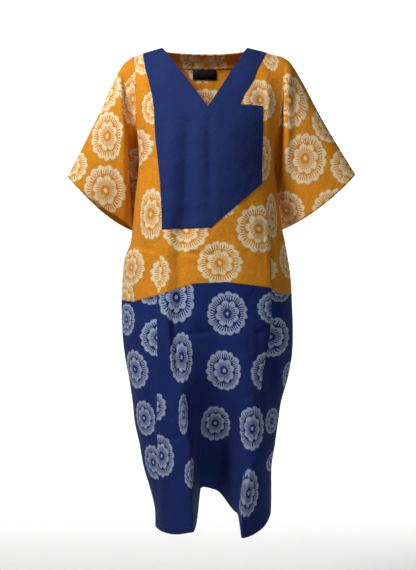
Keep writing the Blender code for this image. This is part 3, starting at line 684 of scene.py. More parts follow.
def body(turn, drop, facing):
    """Outer points of the body's front or back."""
    turn, drop = np.broadcast_arrays(np.asarray(turn, float), np.asarray(drop, float))
    across = reach(turn > 0, drop) * np.sin(turn)
    depth = girth("front" if facing == FRONT else "back", drop) * np.cos(turn)
    fade = ease(np.cos(turn) / FOLD_SIDE_FADE) * ease(drop / SHOULDER_SMOOTH)
    depth = depth + relief(across, drop, facing) * fade
    at_seam = (facing == BACK) | (np.cos(turn) < SIDE_SEAM_FROM)
    depth = np.where(at_seam, np.maximum(depth, SEAM_GAP / 2), depth)
    depth = np.where(drop < WELD, SEAM_GAP / 2, depth)
    neck_side = np.where(across > 0, NECK_RIGHT, -NECK_LEFT)
    outward = np.clip((np.abs(across) - neck_side) / (girth("left", 0.0) - neck_side), 0, 1)
    fall = SHOULDER_FALL * outward * (1 - ease(drop / SHOULDER_FALL_ENDS))
    return np.stack([across, facing * depth, -drop - fall], axis=-1)


def spread(stations, counts, lips):
    """Turns of the columns: counts steps between each two stations, and thin lips at the sides."""
    turns = [stations[0]]
    if lips[0]:
        turns.append(stations[0] + (stations[1] - stations[0]) * SIDE_LIP_SHARE)
    for start, end, count in zip(stations, stations[1:], counts):
        turns += [start + (end - start) * step / count for step in range(1, count + 1)]
    if lips[1]:
        turns.insert(-1, stations[-1] + (stations[-2] - stations[-1]) * SIDE_LIP_SHARE)
    return np.stack(np.broadcast_arrays(*turns), axis=-1)


def front_level(zone, share, across):
    """The drop of a row of the front: shoulder to neck tip, to the bib's foot, to the waist."""
    tip = np.interp(across, [0.0, NOTCH_ACROSS], [NECK_TIP, NOTCH_DROP])
    marks = [np.zeros_like(tip), tip, straight(BIB_FOOT, across), straight(WAIST, across)]
    return marks[zone] + (marks[zone + 1] - marks[zone]) * share


def front_rows():
    """The front's rows, each by its zone down the front and its share of that zone."""
    rows = [(0, 0.0), (0, FIRST_ROW_DROP / NECK_TIP)]
    rows += [(0, (step / SHOULDER_ROWS) ** SHOULDER_ROWS_BUNCH) for step in range(1, SHOULDER_ROWS + 1)]
    rows += [(1, step / CHEST_ROWS) for step in range(1, CHEST_ROWS + 1)]
    rows += [(2, step / WAIST_ROWS) for step in range(1, WAIST_ROWS + 1)]
    return rows


def tip_row():
    """The front's row at the neck's tip."""
    return SHOULDER_ROWS + 1


def underarm_row():
    """The row at the underarm, where the armholes end."""
    return tip_row() + CHEST_ROWS // 2


def line_turn(name, drop, beside=0.0):
    """The turn of one of the front's lines at a height, or of a place beside it."""
    return turn_at(column(LINES, "drop", name, drop) + beside, drop)


def neck_turn(neck, drop):
    """The turn of the V neck's edge, which runs straight from the shoulder to the tip."""
    return turn_at(neck * np.clip(1 - drop / NECK_TIP, 0, 1), drop)


def left_columns(drop):
    """Turns of the front's left half: side seam, pleat, neck edge."""
    stations = [
        -edge_turn(drop),
        line_turn("left", drop, -PLEAT_RUN / 2),
        line_turn("left", drop, PLEAT_RUN / 2),
        neck_turn(NECK_LEFT, drop),
    ]
    return spread(stations, [SIDE_COLUMNS, PLEAT_COLUMNS, BIB_LEFT_COLUMNS], (True, False))


def right_columns(drop):
    """Turns of the front's right half: neck edge, strap, pleat, side seam."""
    stations = [
        neck_turn(NECK_RIGHT, drop),
        line_turn("strap", drop),
        line_turn("right", drop, -PLEAT_RUN / 2),
        line_turn("right", drop, PLEAT_RUN / 2),
        edge_turn(drop),
    ]
    counts = [STRAP_COLUMNS, BIB_RIGHT_COLUMNS, PLEAT_COLUMNS, SIDE_COLUMNS]
    return spread(stations, counts, (False, True))


def settle(level_of, columns_of, start):
    """A row whose height depends on where its columns are, and the other way round."""
    turns = columns_of(start)
    for _ in range(SETTLE_STEPS):
        across = reach(turns > 0, start) * np.sin(turns)
        drops = level_of(across)
        turns = np.diagonal(columns_of(drops))
        start = drops
    return turns, drops


def front_half(columns_of):
    """The front upper's left or right half as a grid of points."""
    grid = []
    for zone, share in front_rows():
        nominal = front_level(zone, share, np.array(0.0))
        turns, drops = settle(lambda x, z=zone, s=share: front_level(z, s, x), columns_of, nominal)
        grid.append(body(turns, drops, FRONT))
    return np.array(grid)


def edge_drops(is_right):
    """The drop of each row at an armhole or side seam, which the back's rows share."""
    side = np.array(WIDEST if is_right else -WIDEST)
    return np.array([float(front_level(zone, share, side)) for zone, share in front_rows()])


def back_top(across):
    """The drop of the back's upper edge: the neckline, and 0 along the shoulders."""
    neck = np.where(across > 0, NECK_RIGHT, -NECK_LEFT)
    return BACK_NECK_DROP * np.sqrt(np.clip(1 - (across / neck) ** 2, 0, 1))


def back_columns(drop):
    """Turns of the back: side seam, neck's left end, middle, neck's right end, side seam."""
    low = np.maximum(drop, BACK_NECK_DROP)
    stations = [
        -edge_turn(drop),
        turn_at(np.full_like(low, NECK_LEFT), drop),
        np.zeros_like(low),
        turn_at(np.full_like(low, NECK_RIGHT), drop),
        edge_turn(drop),
    ]
    counts = [BACK_SHOULDER_COLUMNS, BACK_NECK_COLUMNS, BACK_NECK_COLUMNS, BACK_SHOULDER_COLUMNS]
    return spread(stations, counts, (True, True))


def back_upper_grid():
    """The back upper, with its rows meeting the front's at the sides."""
    left = edge_drops(False)
    right = edge_drops(True)
    grid = []
    for row in range(len(left)):
        def level(across, row=row):
            place = np.clip(across / WIDEST / 2 + 0.5, 0, 1)
            share = left[row] / left[-1] * (1 - place) + right[row] / right[-1] * place
            top = back_top(across)
            return top + (straight(BACK_WAIST, across) - top) * share

        turns, drops = settle(level, back_columns, np.array(left[row]))
        grid.append(body(turns, drops, BACK))
    return np.array(grid)


def skirt_level(across, share, facing):
    """The drop of a row of the skirt, from the waist seam to the hem."""
    if facing == BACK:
        waist = straight(BACK_WAIST, across)
        hem = column(BACK_HEM, "across", "drop", across)
    else:
        waist = straight(WAIST, across)
        lobes = column(HEM, "across", "drop", across)
        hem = lobes - hem_rise(across, lobes)
    return waist + (hem - waist) * share


def running_length(points):
    """How far along a row of points each one is."""
    return np.concatenate([[0], np.cumsum(np.linalg.norm(np.diff(points, axis=0), axis=1))])


def even_turns(first, last, drop, count, facing):
    """Turns that part a stretch of the section into equal lengths of cloth."""
    samples = np.linspace(first, last, SECTION_SAMPLES)
    lengths = running_length(body(samples, drop, facing))
    return np.interp(np.linspace(0, lengths[-1], count + 1), lengths, samples)


def skirt_grid(top_row, facing):
    """The skirt below an upper's last row, with its cloth spread evenly over the folds."""
    top_drop = -top_row[:, 2]
    top_turns = turn_at(top_row[:, 0], top_drop)
    count = len(top_turns) - 1
    side = SIDE_COLUMNS + 1
    pleat = side + PLEAT_COLUMNS
    grid = []
    for step in range(SKIRT_ROWS + 1):
        share = step / SKIRT_ROWS
        nominal = SKIRT_TOP + (SKIRT_FOOT - SKIRT_TOP) * share
        if facing == FRONT:
            first = float(line_turn("left", nominal, -PLEAT_RUN / 2))
            over_first = float(line_turn("left", nominal, PLEAT_RUN / 2))
            over_last = float(line_turn("right", nominal, -PLEAT_RUN / 2))
            last = float(line_turn("right", nominal, PLEAT_RUN / 2))
            left_ends = [top_turns[0], top_turns[side]]
            right_ends = [top_turns[-side - 1], top_turns[-1]]
            left = np.interp(top_turns[: side + 1], left_ends, [-np.pi / 2, first])
            right = np.interp(top_turns[-side - 1 :], right_ends, [last, np.pi / 2])
            middle = even_turns(over_first, over_last, nominal, count - 2 * pleat, facing)
            first_pleat = np.linspace(first, over_first, PLEAT_COLUMNS + 1)[1:-1]
            last_pleat = np.linspace(over_last, last, PLEAT_COLUMNS + 1)[1:-1]
            even = np.concatenate([left, first_pleat, middle, last_pleat, right])
            turns = top_turns + (even - top_turns) * ease(share / SKIRT_SETTLE)
        else:
            turns = top_turns
        drops = np.full(count + 1, nominal)
        for _ in range(SETTLE_STEPS):
            across = reach(turns > 0, drops) * np.sin(turns)
            drops = skirt_level(across, share, facing)
        grid.append(top_row if step == 0 else body(turns, drops, facing))
    return np.array(grid)


def unit(vectors):
    """Vectors made 1 long."""
    return vectors / np.linalg.norm(vectors, axis=-1, keepdims=True)


def part_edges(seam, inner_a, inner_b):
    """Edges and lips of two sheets sewn along seam, half a gap either side of it."""
    run = unit(inner_b - inner_a)
    gap = run * SEAM_GAP / 2
    lips = []
    for inner in (inner_a, inner_b):
        room = np.linalg.norm(inner - seam, axis=-1, keepdims=True)
        lips.append(run * np.minimum(SEAM_LIP, room / 2))
    return seam - gap, seam - lips[0], seam + gap, seam + lips[1]


def sew_waist(upper, skirt):
    """Returns both grids with a lip row each along the waist seam."""
    edge_a, lip_a, edge_b, lip_b = part_edges(upper[-1], upper[-2], skirt[1])
    upper = np.concatenate([upper[:-1], lip_a[None], edge_a[None]])
    skirt = np.concatenate([edge_b[None], lip_b[None], skirt[1:]])
    return upper, skirt


def loop_share(edge):
    """How far along an edge its points are, 0 to 1."""
    lengths = running_length(edge)
    return lengths / lengths[-1]


def sleeve_grid(front_edge, back_edge, table, lift, sag, gutter):
    """Rings from the armhole, top first, down the front, and up the back."""
    armhole = np.concatenate([front_edge, back_edge[-2:0:-1]])
    armhole[0, 1] = 0
    armhole[len(front_edge) - 1, 1] = 0
    front_angles = np.pi * loop_share(front_edge)
    back_angles = 2 * np.pi - np.pi * loop_share(back_edge)[-2:0:-1]
    angles = np.concatenate([front_angles, back_angles])
    low = (1 - np.cos(angles)) / 2
    rings = [armhole]
    for step in range(1, SLEEVE_RINGS + 1):
        along = step / SLEEVE_RINGS
        size = {name: float(column(table, "along", name, along)) for name in Ring._fields[1:]}
        top = np.array([size["top_x"], 0, -size["top_drop"]])
        foot = np.array([size["foot_x"], size["foot_y"], -size["foot_drop"]])
        first_top = np.array([table[0].top_x, 0, -table[0].top_drop])
        first_foot = np.array([table[0].foot_x, 0, -table[0].foot_drop])
        oval = (top + foot) / 2 + (top - foot) / 2 * np.cos(angles)[:, None]
        oval[:, 1] -= size["depth"] * np.sin(angles)
        carried = armhole + (top - first_top) + ((foot - first_foot) - (top - first_top)) * low[:, None]
        hold = 1 - ease(along / ARMHOLE_HOLD)
        ring = carried * hold + oval * (1 - hold)
        front_low = np.clip(np.sin(angles), 0, 1) * low
        ring[:, 2] += (lift * front_low - sag * np.sin(angles) ** 2) * along**CUFF_BEND
        ring_drop = -ring[:, 2]
        edge, deep, run = [column(gutter, "drop", name, ring_drop) for name in Gutter._fields[1:]]
        past = np.abs(ring[:, 0]) - np.abs(edge)
        ridge = GUTTER_RIDGE * np.exp(-(((past - GUTTER_RIDGE_OFF) / GUTTER_RIDGE_WIDTH) ** 2))
        shift = deep * ease(0.5 - past / run) - ridge * np.minimum(deep / deep.max(), 0.5) * 2
        ring[:, 1] += shift * np.clip(np.sin(angles), 0, 1) * ease(step / SLEEVE_SEAM_RINGS)
        rings.append(ring)
    return np.array(rings)


def sew_armhole(front, back, sleeve, side):
    """Lips on the body's armhole edges and on the sleeve. side is the edge's column, 0 or -1."""
    last = underarm_row()
    lip_column = 1 if side == 0 else -2
    inner_column = 2 if side == 0 else -3
    count = sleeve.shape[1]
    ring_edge = sleeve[0].copy()
    ring_lip = sleeve[0].copy()
    for i in range(count):
        row = i if i <= last else count - i
        parts = [front] if i <= last else [back]
        if i in (0, last):
            parts = [front, back]
        inner = sum(part[row, inner_column] for part in parts) / len(parts)
        edge, lip, sleeve_edge, sleeve_lip = part_edges(sleeve[0, i], inner, sleeve[1, i])
        ring_edge[i] = sleeve_edge
        ring_lip[i] = sleeve_lip
        for part in parts:
            apart = np.array([0, part[row, side, 1], 0]) if len(parts) == 2 else 0
            part[row, side] = edge + apart
            if i != last:
                part[row, lip_column] = lip + apart
    return np.concatenate([ring_edge[None], ring_lip[None], sleeve[1:]])


def length_along(grid, axis):
    """Running lengths of cloth along a grid's columns (axis 0) or rows (axis 1)."""
    steps = np.linalg.norm(np.diff(grid, axis=axis), axis=-1)
    start = np.zeros_like(np.take(steps, [0], axis=axis))
    return np.cumsum(np.concatenate([start, steps], axis=axis), axis=axis)


def cloth_places(grid, anchor, level):
    """Places on the cloth: across from level at the anchor column, and down from the top row."""
    across = length_along(grid, 1)
    across = across - across[:, [anchor]] + level
    return np.stack([across, length_along(grid, 0)], axis=-1)


def quads(rows, cols, start, flip):
    """The faces of a grid whose first point has the number start."""
    index = start + np.arange(rows * cols).reshape(rows, cols)
    corners = [index[:-1, :-1], index[1:, :-1], index[1:, 1:], index[:-1, 1:]]
    faces = np.stack(corners, axis=-1).reshape(-1, 4)
    return faces[:, ::-1] if flip else faces


def welded(points):
    """The first of all points that lie together, and each point's number among those."""
    keys = np.round(points / WELD)
    _, first, same = np.unique(keys, axis=0, return_index=True, return_inverse=True)
    return first, same.reshape(-1)


def point_normals(points, faces, same):
    """The cloth's normal at each point, which points with the same number have in common."""
    corners = points[faces]
    normals = np.cross(corners[:, 2] - corners[:, 0], corners[:, 3] - corners[:, 1])
    total = np.zeros_like(points)
    for corner in range(4):
        np.add.at(total, same[faces[:, corner]], normals)
    return unit(total + WELD**2)[same]


def seen_places(points):
    """Where points seem to lie from the camera, at the depth of the shoulder line."""
    nearness = CAMERA_BACK / (CAMERA_BACK + points[:, 1])
    across = points[:, 0] * nearness
    drop = CAMERA_DROP - (CAMERA_DROP + points[:, 2]) * nearness
    return across, drop


def seen_centre(points, flower):
    """The point under a flower's middle: the frontmost of those that seem to lie there."""
    across, drop = seen_places(points)
    off = np.hypot(across - flower.across, drop - flower.drop)
    near = off < max(SEEN_WITHIN, off.min() * 1.001)
    return int(np.argmin(np.where(near, points[:, 1], np.inf)))


def flower_places(points, normals, arcs, centre, flower):
    """Places round a flower's middle, in flower radii, measured over the cloth."""
    offset = points - points[centre]
    normal = normals[centre]
    down = unit(np.array([0.0, 0.0, -1.0]) + normal * normal[2])
    side = np.cross(normal, down)
    flat = np.stack([offset @ side, offset @ down], axis=-1)
    spread_out = np.linalg.norm(offset, axis=-1) / np.maximum(np.linalg.norm(flat, axis=-1), WELD)
    flat = flat * spread_out[:, None]
    shown = np.ones(2)
    if flower.drop is not None:
        nearness = CAMERA_BACK / (CAMERA_BACK + points[centre, 1])
        shown = np.maximum(np.abs([side[0], down[2]]), LEAST_SHOWN) * nearness
        flat[:, 0] = flat[:, 0] * np.sign(side[0])
    x = (flat[:, 0] * shown[0] - flower.beside) / flower.wide
    y = (flat[:, 1] * shown[1] - flower.below) / flower.tall
    along = np.abs(arcs * shown[0] - flower.beside) / flower.wide
    turn = math.radians(flower.turn)
    turned = [x * math.cos(turn) - y * math.sin(turn), x * math.sin(turn) + y * math.cos(turn)]
    return np.stack(turned, axis=-1), np.where(along > FLOWER_ARC, np.inf, np.hypot(x, y))


def lattice_flowers(points, places, hidden, centres, around):
    """Flowers on the sides that the photo doesn't show, on the print's own staggered lattice."""
    added = []
    taken = list(centres)
    low = places.min(axis=0)
    high = places.max(axis=0)
    rows = int((high[1] - low[1]) / FLOWER_ROWS) + 1
    cols = int((high[0] - low[0]) / FLOWER_PITCH) + 2
    for row in range(rows):
        for col in range(cols):
            staggered = (col + row % 2 / 2) * FLOWER_PITCH
            middle = low + np.array([staggered, (row + LATTICE_START) * FLOWER_ROWS])
            off = np.linalg.norm(places - middle, axis=-1)
            centre = int(np.argmin(off))
            apart = places[taken] - places[centre]
            if around is not None:
                apart[:, 0] = (apart[:, 0] + around / 2) % around - around / 2
            clear = np.all(np.linalg.norm(apart, axis=-1) > FLOWER_APART)
            if off[centre] < SEEN_WITHIN and hidden[centre] and clear:
                zone = int(np.sign(points[centre, 0]))
                taken.append(centre)
                turn = (row * ROW_TURNS + col * COLUMN_TURNS) * LATTICE_TURN
                flower = Flower(zone, None, None, FLOWER_RADIUS, FLOWER_RADIUS, 0, 0, turn)
                added.append((centre, flower))
    return added


def flower_map(points, faces, places, stamps, faces_zone, around):
    """Each face corner's place round the nearest flower that reaches the face."""
    normals = point_normals(points, faces, np.arange(len(points)))
    best = np.full(len(faces), FLOWER_REACH)
    result = np.full((len(faces), 4, 2), FAR_FROM_FLOWERS)
    side, left_pleat, right_pleat = faces_zone
    for centre, flower in stamps:
        arcs = places[:, 0] - places[centre, 0]
        if around is not None:
            arcs = (arcs + around / 2) % around - around / 2
        local, away = flower_places(points, normals, arcs, centre, flower)
        distance = away[faces].mean(axis=1)
        same_left = ~left_pleat | ((side == -1) == (flower.zone == -1))
        same_right = ~right_pleat | ((side == 1) == (flower.zone == 1))
        nearer = (distance < best) & same_left & same_right
        best[nearer] = distance[nearer]
        result[nearer] = local[faces[nearer]]
    return result


def flower_layer(points, faces, places, side, flowers, around):
    """The face corners' places round the flowers, those given and those on the hidden sides."""
    given, hidden = flowers
    stamps = [(seen_centre(points, flower), flower) for flower in given]
    centres = [centre for centre, _ in stamps]
    stamps += lattice_flowers(points, places, hidden(points), centres, around)
    drops = -points[faces][:, :, 2].mean(axis=1)
    has_pleats = around is None and np.any(side)
    zones = (side, has_pleats & (drops > LEFT_PLEAT_FROM), has_pleats & (drops > RIGHT_PLEAT_FROM))
    return flower_map(points, faces, places, stamps, zones, around)


def add_cloth(
    name, parts, material, wall=CLOTH, outward=False, flip=False, flowers=None, around=None
):
    """A cloth piece from its grids. Each part is a grid, its places and its columns' sides."""
    points = np.concatenate([grid.reshape(-1, 3) for grid, _, _ in parts])
    places = np.concatenate([place.reshape(-1, 2) for _, place, _ in parts])
    faces = []
    sides = []
    start = 0
    for grid, _, side in parts:
        rows, cols = grid.shape[:2]
        faces.append(quads(rows, cols, start, flip))
        sides.append(np.tile(side[:-1], rows - 1))
        start += rows * cols
    faces = np.concatenate(faces)
    side = np.concatenate(sides)
    first, same = welded(points)
    mesh = bpy.data.meshes.new(name)
    mesh.from_pydata(points[first].tolist(), [], same[faces].tolist())
    cloth = mesh.uv_layers.new(name="cloth")
    cloth.data.foreach_set("uv", places[faces].ravel())
    if flowers is not None:
        layer = flower_layer(points, faces, places, side, flowers, around)
        mesh.uv_layers.new(name="flower").data.foreach_set("uv", layer.ravel())
    mesh.materials.append(material)
    mesh.shade_smooth()
    piece = bpy.data.objects.new(name, mesh)
    bpy.context.scene.collection.objects.link(piece)
    solid = piece.modifiers.new("wall", "SOLIDIFY")
    solid.thickness = wall
    solid.offset = 1 if outward else -1
    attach(piece, "root")
    return piece


def moved_out(grids, distance, flip=False):
    """The same grids moved along the cloth's own normals, which shared points have in common."""
    points = np.concatenate([grid.reshape(-1, 3) for grid in grids])
    starts = np.cumsum([0] + [grid.shape[0] * grid.shape[1] for grid in grids])
    faces = [quads(*grid.shape[:2], start, flip) for grid, start in zip(grids, starts)]
    moved = points + point_normals(points, np.concatenate(faces), welded(points)[1]) * distance
    return [moved[a:b].reshape(grid.shape) for grid, a, b in zip(grids, starts, starts[1:])]


def bib_grids(left, right):
    """The bib's share of the front's own points: two straps that meet below the neck."""
    foot = tip_row() + CHEST_ROWS
    edge = SIDE_COLUMNS + 1 + PLEAT_COLUMNS // 2
    right_edge = STRAP_COLUMNS + BIB_RIGHT_COLUMNS + PLEAT_COLUMNS // 2
    left_part = left[1 : foot + 1, edge:]
    strap = right[1 : foot + 1, : STRAP_COLUMNS + 1]
    right_part = right[tip_row() : foot + 1, STRAP_COLUMNS : right_edge + 1]
    return [left_part, strap, right_part]


def facing_grid(back):
    """The back's own points behind the neck, which the facing lies on."""
    first = BACK_SHOULDER_COLUMNS + 1
    return back[:FACING_ROWS, first : first + 2 * BACK_NECK_COLUMNS + 1]


def label_grid(back):
    """Points of the back's own facets under the woven label, over the facing's lower edge."""
    across = LABEL_ACROSS + np.linspace(-0.5, 0.5, LABEL_COLUMNS + 1) * LABEL_WIDTH
    drops = np.linspace(LABEL_TOP, LABEL_TOP + LABEL_HEIGHT, LABEL_ROWS + 1)
    columns = []
    for x in across:
        depths = [np.interp(x, row[:, 0], row[:, 1]) for row in back]
        row_drops = [-np.interp(x, row[:, 0], row[:, 2]) for row in back]
        y = np.interp(drops, row_drops, depths)
        columns.append(np.stack([np.full_like(drops, x), y, -drops], axis=-1))
    return np.stack(columns, axis=1)


def node(tree, kind, **settings):
    """A new shader node with its settings."""
    made = tree.nodes.new(kind)
    for name, value in settings.items():
        setattr(made, name, value)
    return made


def feed(tree, socket, value):
    """Sets a socket to a number or a colour, or links another socket to it."""
    if isinstance(value, bpy.types.NodeSocket):
        tree.links.new(value, socket)
    else:
        socket.default_value = value


def maths(tree, operation, *values):
    """A sum on numbers or sockets."""
    made = node(tree, "ShaderNodeMath", operation=operation)
    for socket, value in zip(made.inputs, values):
        feed(tree, socket, value)
    return made.outputs[0]


def inside(tree, depth, softness):
    """1 where depth is over 0 and 0 where it is under, with a soft edge."""
    made = node(tree, "ShaderNodeMapRange", interpolation_type="SMOOTHSTEP")
    feed(tree, made.inputs["Value"], depth)
    made.inputs["From Min"].default_value = -softness
    made.inputs["From Max"].default_value = softness
    return made.outputs["Result"]


def mixed(tree, share, first, second, blend="MIX"):
    """A colour between two, by share."""
    made = node(tree, "ShaderNodeMix", data_type="RGBA", blend_type=blend)
    feed(tree, made.inputs["Factor"], share)
    feed(tree, made.inputs[6], first)
    feed(tree, made.inputs[7], second)
    return made.outputs[2]


def noise(tree, place, scale, detail=2.0, roughness=0.5):
    """Cloudy noise from 0 to 1."""
    made = node(tree, "ShaderNodeTexNoise")
    feed(tree, made.inputs["Vector"], place)
    made.inputs["Scale"].default_value = scale
    made.inputs["Detail"].default_value = detail
    made.inputs["Roughness"].default_value = roughness
    return made.outputs["Fac"]


def stretched(tree, place, across, down):
    """A place on the cloth with its own scale across and down."""
    made = node(tree, "ShaderNodeMapping")
    feed(tree, made.inputs["Vector"], place)
    made.inputs["Scale"].default_value = (across, down, 1.0)
    return made.outputs["Vector"]


def new_group(name, inputs, outputs):
    """A new node group, its given sockets and its result sockets."""
    tree = bpy.data.node_groups.new(name, "ShaderNodeTree")
    for label, kind in inputs:
        tree.interface.new_socket(label, in_out="INPUT", socket_type=kind)
    for label, kind in outputs:
        tree.interface.new_socket(label, in_out="OUTPUT", socket_type=kind)
    return tree, node(tree, "NodeGroupInput").outputs, node(tree, "NodeGroupOutput").inputs


def resist_flower_group():
    """The resist-dyed flower: a scalloped ring with a combed inner edge, a small flower and a dot."""
    inputs = [("Flower place", "NodeSocketVector"), ("Cloth place", "NodeSocketVector")]
    tree, given, results = new_group("resist_flower", inputs, [("Resist", "NodeSocketFloat")])
    parts = node(tree, "ShaderNodeSeparateXYZ")
    feed(tree, parts.inputs[0], given["Flower place"])
    length = node(tree, "ShaderNodeVectorMath", operation="LENGTH")
    feed(tree, length.inputs[0], given["Flower place"])
    place = given["Cloth place"]
    drift = maths(tree, "SUBTRACT", noise(tree, place, RESIST_DRIFT_FINENESS), 0.5)
    fray = maths(tree, "SUBTRACT", noise(tree, place, RESIST_FRAY_FINENESS), 0.5)
    away = maths(tree, "MULTIPLY_ADD", drift, RESIST_DRIFT, length.outputs["Value"])
    away = maths(tree, "MULTIPLY_ADD", fray, RESIST_FRAY, away)
    turn = maths(tree, "ARCTAN2", parts.outputs["Y"], parts.outputs["X"])
    turn = maths(tree, "MULTIPLY_ADD", drift, RESIST_TWIST, turn)

    def wave(count):
        return maths(tree, "COSINE", maths(tree, "MULTIPLY", turn, count))

    def lobes(count):
        return maths(tree, "POWER", maths(tree, "ABSOLUTE", wave(count / 2)), LOBE_ROUNDNESS)

    def teeth(count, bias):
        return inside(tree, maths(tree, "ADD", wave(count), bias), TOOTH_SOFTNESS)

    def within(height, share, foot):
        edge = maths(tree, "MULTIPLY_ADD", share, height, foot)
        return inside(tree, maths(tree, "SUBTRACT", edge, away), RESIST_SOFTNESS)

    def beyond(height, share, foot):
        edge = maths(tree, "MULTIPLY_ADD", share, height, foot)
        return inside(tree, maths(tree, "SUBTRACT", away, edge), RESIST_SOFTNESS)

    scallops = within(SCALLOP_HEIGHT, lobes(SCALLOPS), SCALLOP_FOOT)
    comb = beyond(COMB_HEIGHT, teeth(COMB_TEETH, 0.0), COMB_FOOT)
    ring = maths(tree, "MULTIPLY", scallops, comb)
    petals = within(PETAL_HEIGHT, lobes(PETALS), PETAL_FOOT)
    heart = beyond(HEART_HEIGHT, teeth(HEART_TEETH, HEART_FULLNESS), HEART_FOOT)
    small = maths(tree, "MULTIPLY", petals, heart)
    dot = inside(tree, maths(tree, "SUBTRACT", DOT, away), RESIST_SOFTNESS)
    resist = maths(tree, "MAXIMUM", maths(tree, "MAXIMUM", ring, small), dot)
    feed(tree, results["Resist"], resist)
    return tree


def slub_weave_group():
    """Plain cotton with uneven threads: the height of its weave, and a tone that is painted shade in
    the weave's low places and painted light on its high ones, together with the slubs' own tone.
    """
    outputs = [("Height", "NodeSocketFloat"), ("Weave_shade_and_slub", "NodeSocketFloat")]
    tree, given, results = new_group("slub_weave", [("Cloth place", "NodeSocketVector")], outputs)
    place = given["Cloth place"]
    warp = noise(tree, stretched(tree, place, THREAD_FINENESS, THREAD_EVENNESS), 1.0, 3.0)
    weft = noise(tree, stretched(tree, place, THREAD_EVENNESS, THREAD_FINENESS), 1.0, 3.0)
    both = maths(tree, "ADD", warp, weft)
    feed(tree, results["Height"], maths(tree, "MULTIPLY", both, 0.5))
    slub = noise(tree, stretched(tree, place, SLUB_EVENNESS, SLUB_FINENESS), 1.0, 2.0)
    both = maths(tree, "MULTIPLY_ADD", slub, SLUB_SHARE, both)
    feed(tree, results["Weave_shade_and_slub"], maths(tree, "MULTIPLY", both, THREAD_SHARE))
    return tree


def worn_cotton_group():
    """Fine pressed creases and patches of uneven dye."""
    outputs = [("Height", "NodeSocketFloat"), ("Patch", "NodeSocketFloat")]
    tree, given, results = new_group("worn_cotton", [("Cloth place", "NodeSocketVector")], outputs)
    place = given["Cloth place"]
    off = maths(tree, "SUBTRACT", noise(tree, place, CREASE_FINENESS, 4.0, 0.55), 0.5)
    squared = maths(tree, "MULTIPLY", off, off)
    blunt = maths(tree, "ADD", squared, CREASE_SOFTNESS)
    feed(tree, results["Height"], maths(tree, "DIVIDE", squared, blunt))
    patch = noise(tree, place, PATCH_FINENESS, 5.0, 0.6)
    mottle = noise(tree, stretched(tree, place, *MOTTLE_FINENESS), 1.0, 3.0, 0.6)
    uneven = maths(tree, "SUBTRACT", mottle, 0.5)
    feed(tree, results["Patch"], maths(tree, "MULTIPLY_ADD", uneven, MOTTLE_SHARE, patch))
    return tree


def group_node(tree, group, **values):
    """A node group placed in a tree with its inputs, whose names have _ for each space."""
    made = node(tree, "ShaderNodeGroup", node_tree=group)
    for label, value in values.items():
        feed(tree, made.inputs[label.replace("_", " ")], value)
    return made.outputs


def new_material(name):
    """A new material, its node tree and its shader."""
    material = bpy.data.materials.new(name)
    material.use_nodes = True
    return material, material.node_tree, material.node_tree.nodes["Principled BSDF"]


def bump(tree, height, strength, distance, normal=None):
    """The normal of a surface raised by a height, over another such normal if one is given."""
    made = node(tree, "ShaderNodeBump")
    made.inputs["Strength"].default_value = strength
    made.inputs["Distance"].default_value = distance
    feed(tree, made.inputs["Height"], height)
    if normal is not None:
        feed(tree, made.inputs["Normal"], normal)
    return made.outputs[0]


def cotton(name, groups, light, dark, resist=None, roughness=0.85):
    """Matt woven cotton, dyed all over, and with resist flowers where resist is their colour."""
    material, tree, shader = new_material(name)
    cloth = node(tree, "ShaderNodeUVMap", uv_map="cloth").outputs[0]
    weave = group_node(tree, groups["weave"], Cloth_place=cloth)
    wear = group_node(tree, groups["wear"], Cloth_place=cloth)
    colour = mixed(tree, wear["Patch"], dark, light)
    if resist is not None:
        place = node(tree, "ShaderNodeUVMap", uv_map="flower").outputs[0]
        flower = group_node(tree, groups["flower"], Flower_place=place, Cloth_place=cloth)
        cover = maths(tree, "MULTIPLY_ADD", wear["Patch"], RESIST_UNEVENNESS, RESIST_COVER)
        share = maths(tree, "MULTIPLY", flower["Resist"], maths(tree, "MINIMUM", cover, 1.0))
        colour = mixed(tree, share, colour, resist)
    # Painted shade and painted light of the weave, together with the slubs' own tone, multiplied into
    # the dye.
    threads = mixed(tree, weave["Weave_shade_and_slub"], SHADED_WEAVE_AND_DARK_SLUB, LIT_WEAVE_AND_LIGHT_SLUB)
    colour = mixed(tree, 1.0, colour, threads, "MULTIPLY")
    feed(tree, shader.inputs["Base Color"], colour)
    rough = maths(tree, "MULTIPLY_ADD", weave["Weave_shade_and_slub"], 0.15, roughness - 0.08)
    feed(tree, shader.inputs["Roughness"], rough)
    shader.inputs["Specular IOR Level"].default_value = 0.12
    shader.inputs["Sheen Weight"].default_value = 0.02
    shader.inputs["Sheen Roughness"].default_value = 0.6
    creased = bump(tree, wear["Height"], strength=0.45, distance=0.002)
    woven = bump(tree, weave["Height"], strength=0.4, distance=0.0005, normal=creased)
    feed(tree, shader.inputs["Normal"], woven)
    return material


def thread(name, colour):
    """Plied sewing thread, a little shinier than the cloth, with painted shade between its plies."""
    material, tree, shader = new_material(name)
    place = node(tree, "ShaderNodeTexCoord").outputs["Object"]
    plies = noise(tree, place, PLY_FINENESS, 2.0)
    # Painted shade: the thread is darker where its plies' bump is low.
    dark = tuple(part * PLY_PAINTED_SHADE for part in colour[:3]) + (1,)
    feed(tree, shader.inputs["Base Color"], mixed(tree, plies, dark, colour))
    shader.inputs["Roughness"].default_value = 0.55
    feed(tree, shader.inputs["Normal"], bump(tree, plies, strength=0.4, distance=0.0002))
    return material


def stage_material():
    """Matt studio paper with a faint grain."""
    material, tree, shader = new_material("studio_paper")
    place = node(tree, "ShaderNodeTexCoord").outputs["Object"]
    grain = noise(tree, place, PAPER_GRAIN, 3.0)
    feed(tree, shader.inputs["Base Color"], mixed(tree, grain, PAPER_DARK, PAPER_LIGHT))
    shader.inputs["Roughness"].default_value = 0.9
    return material


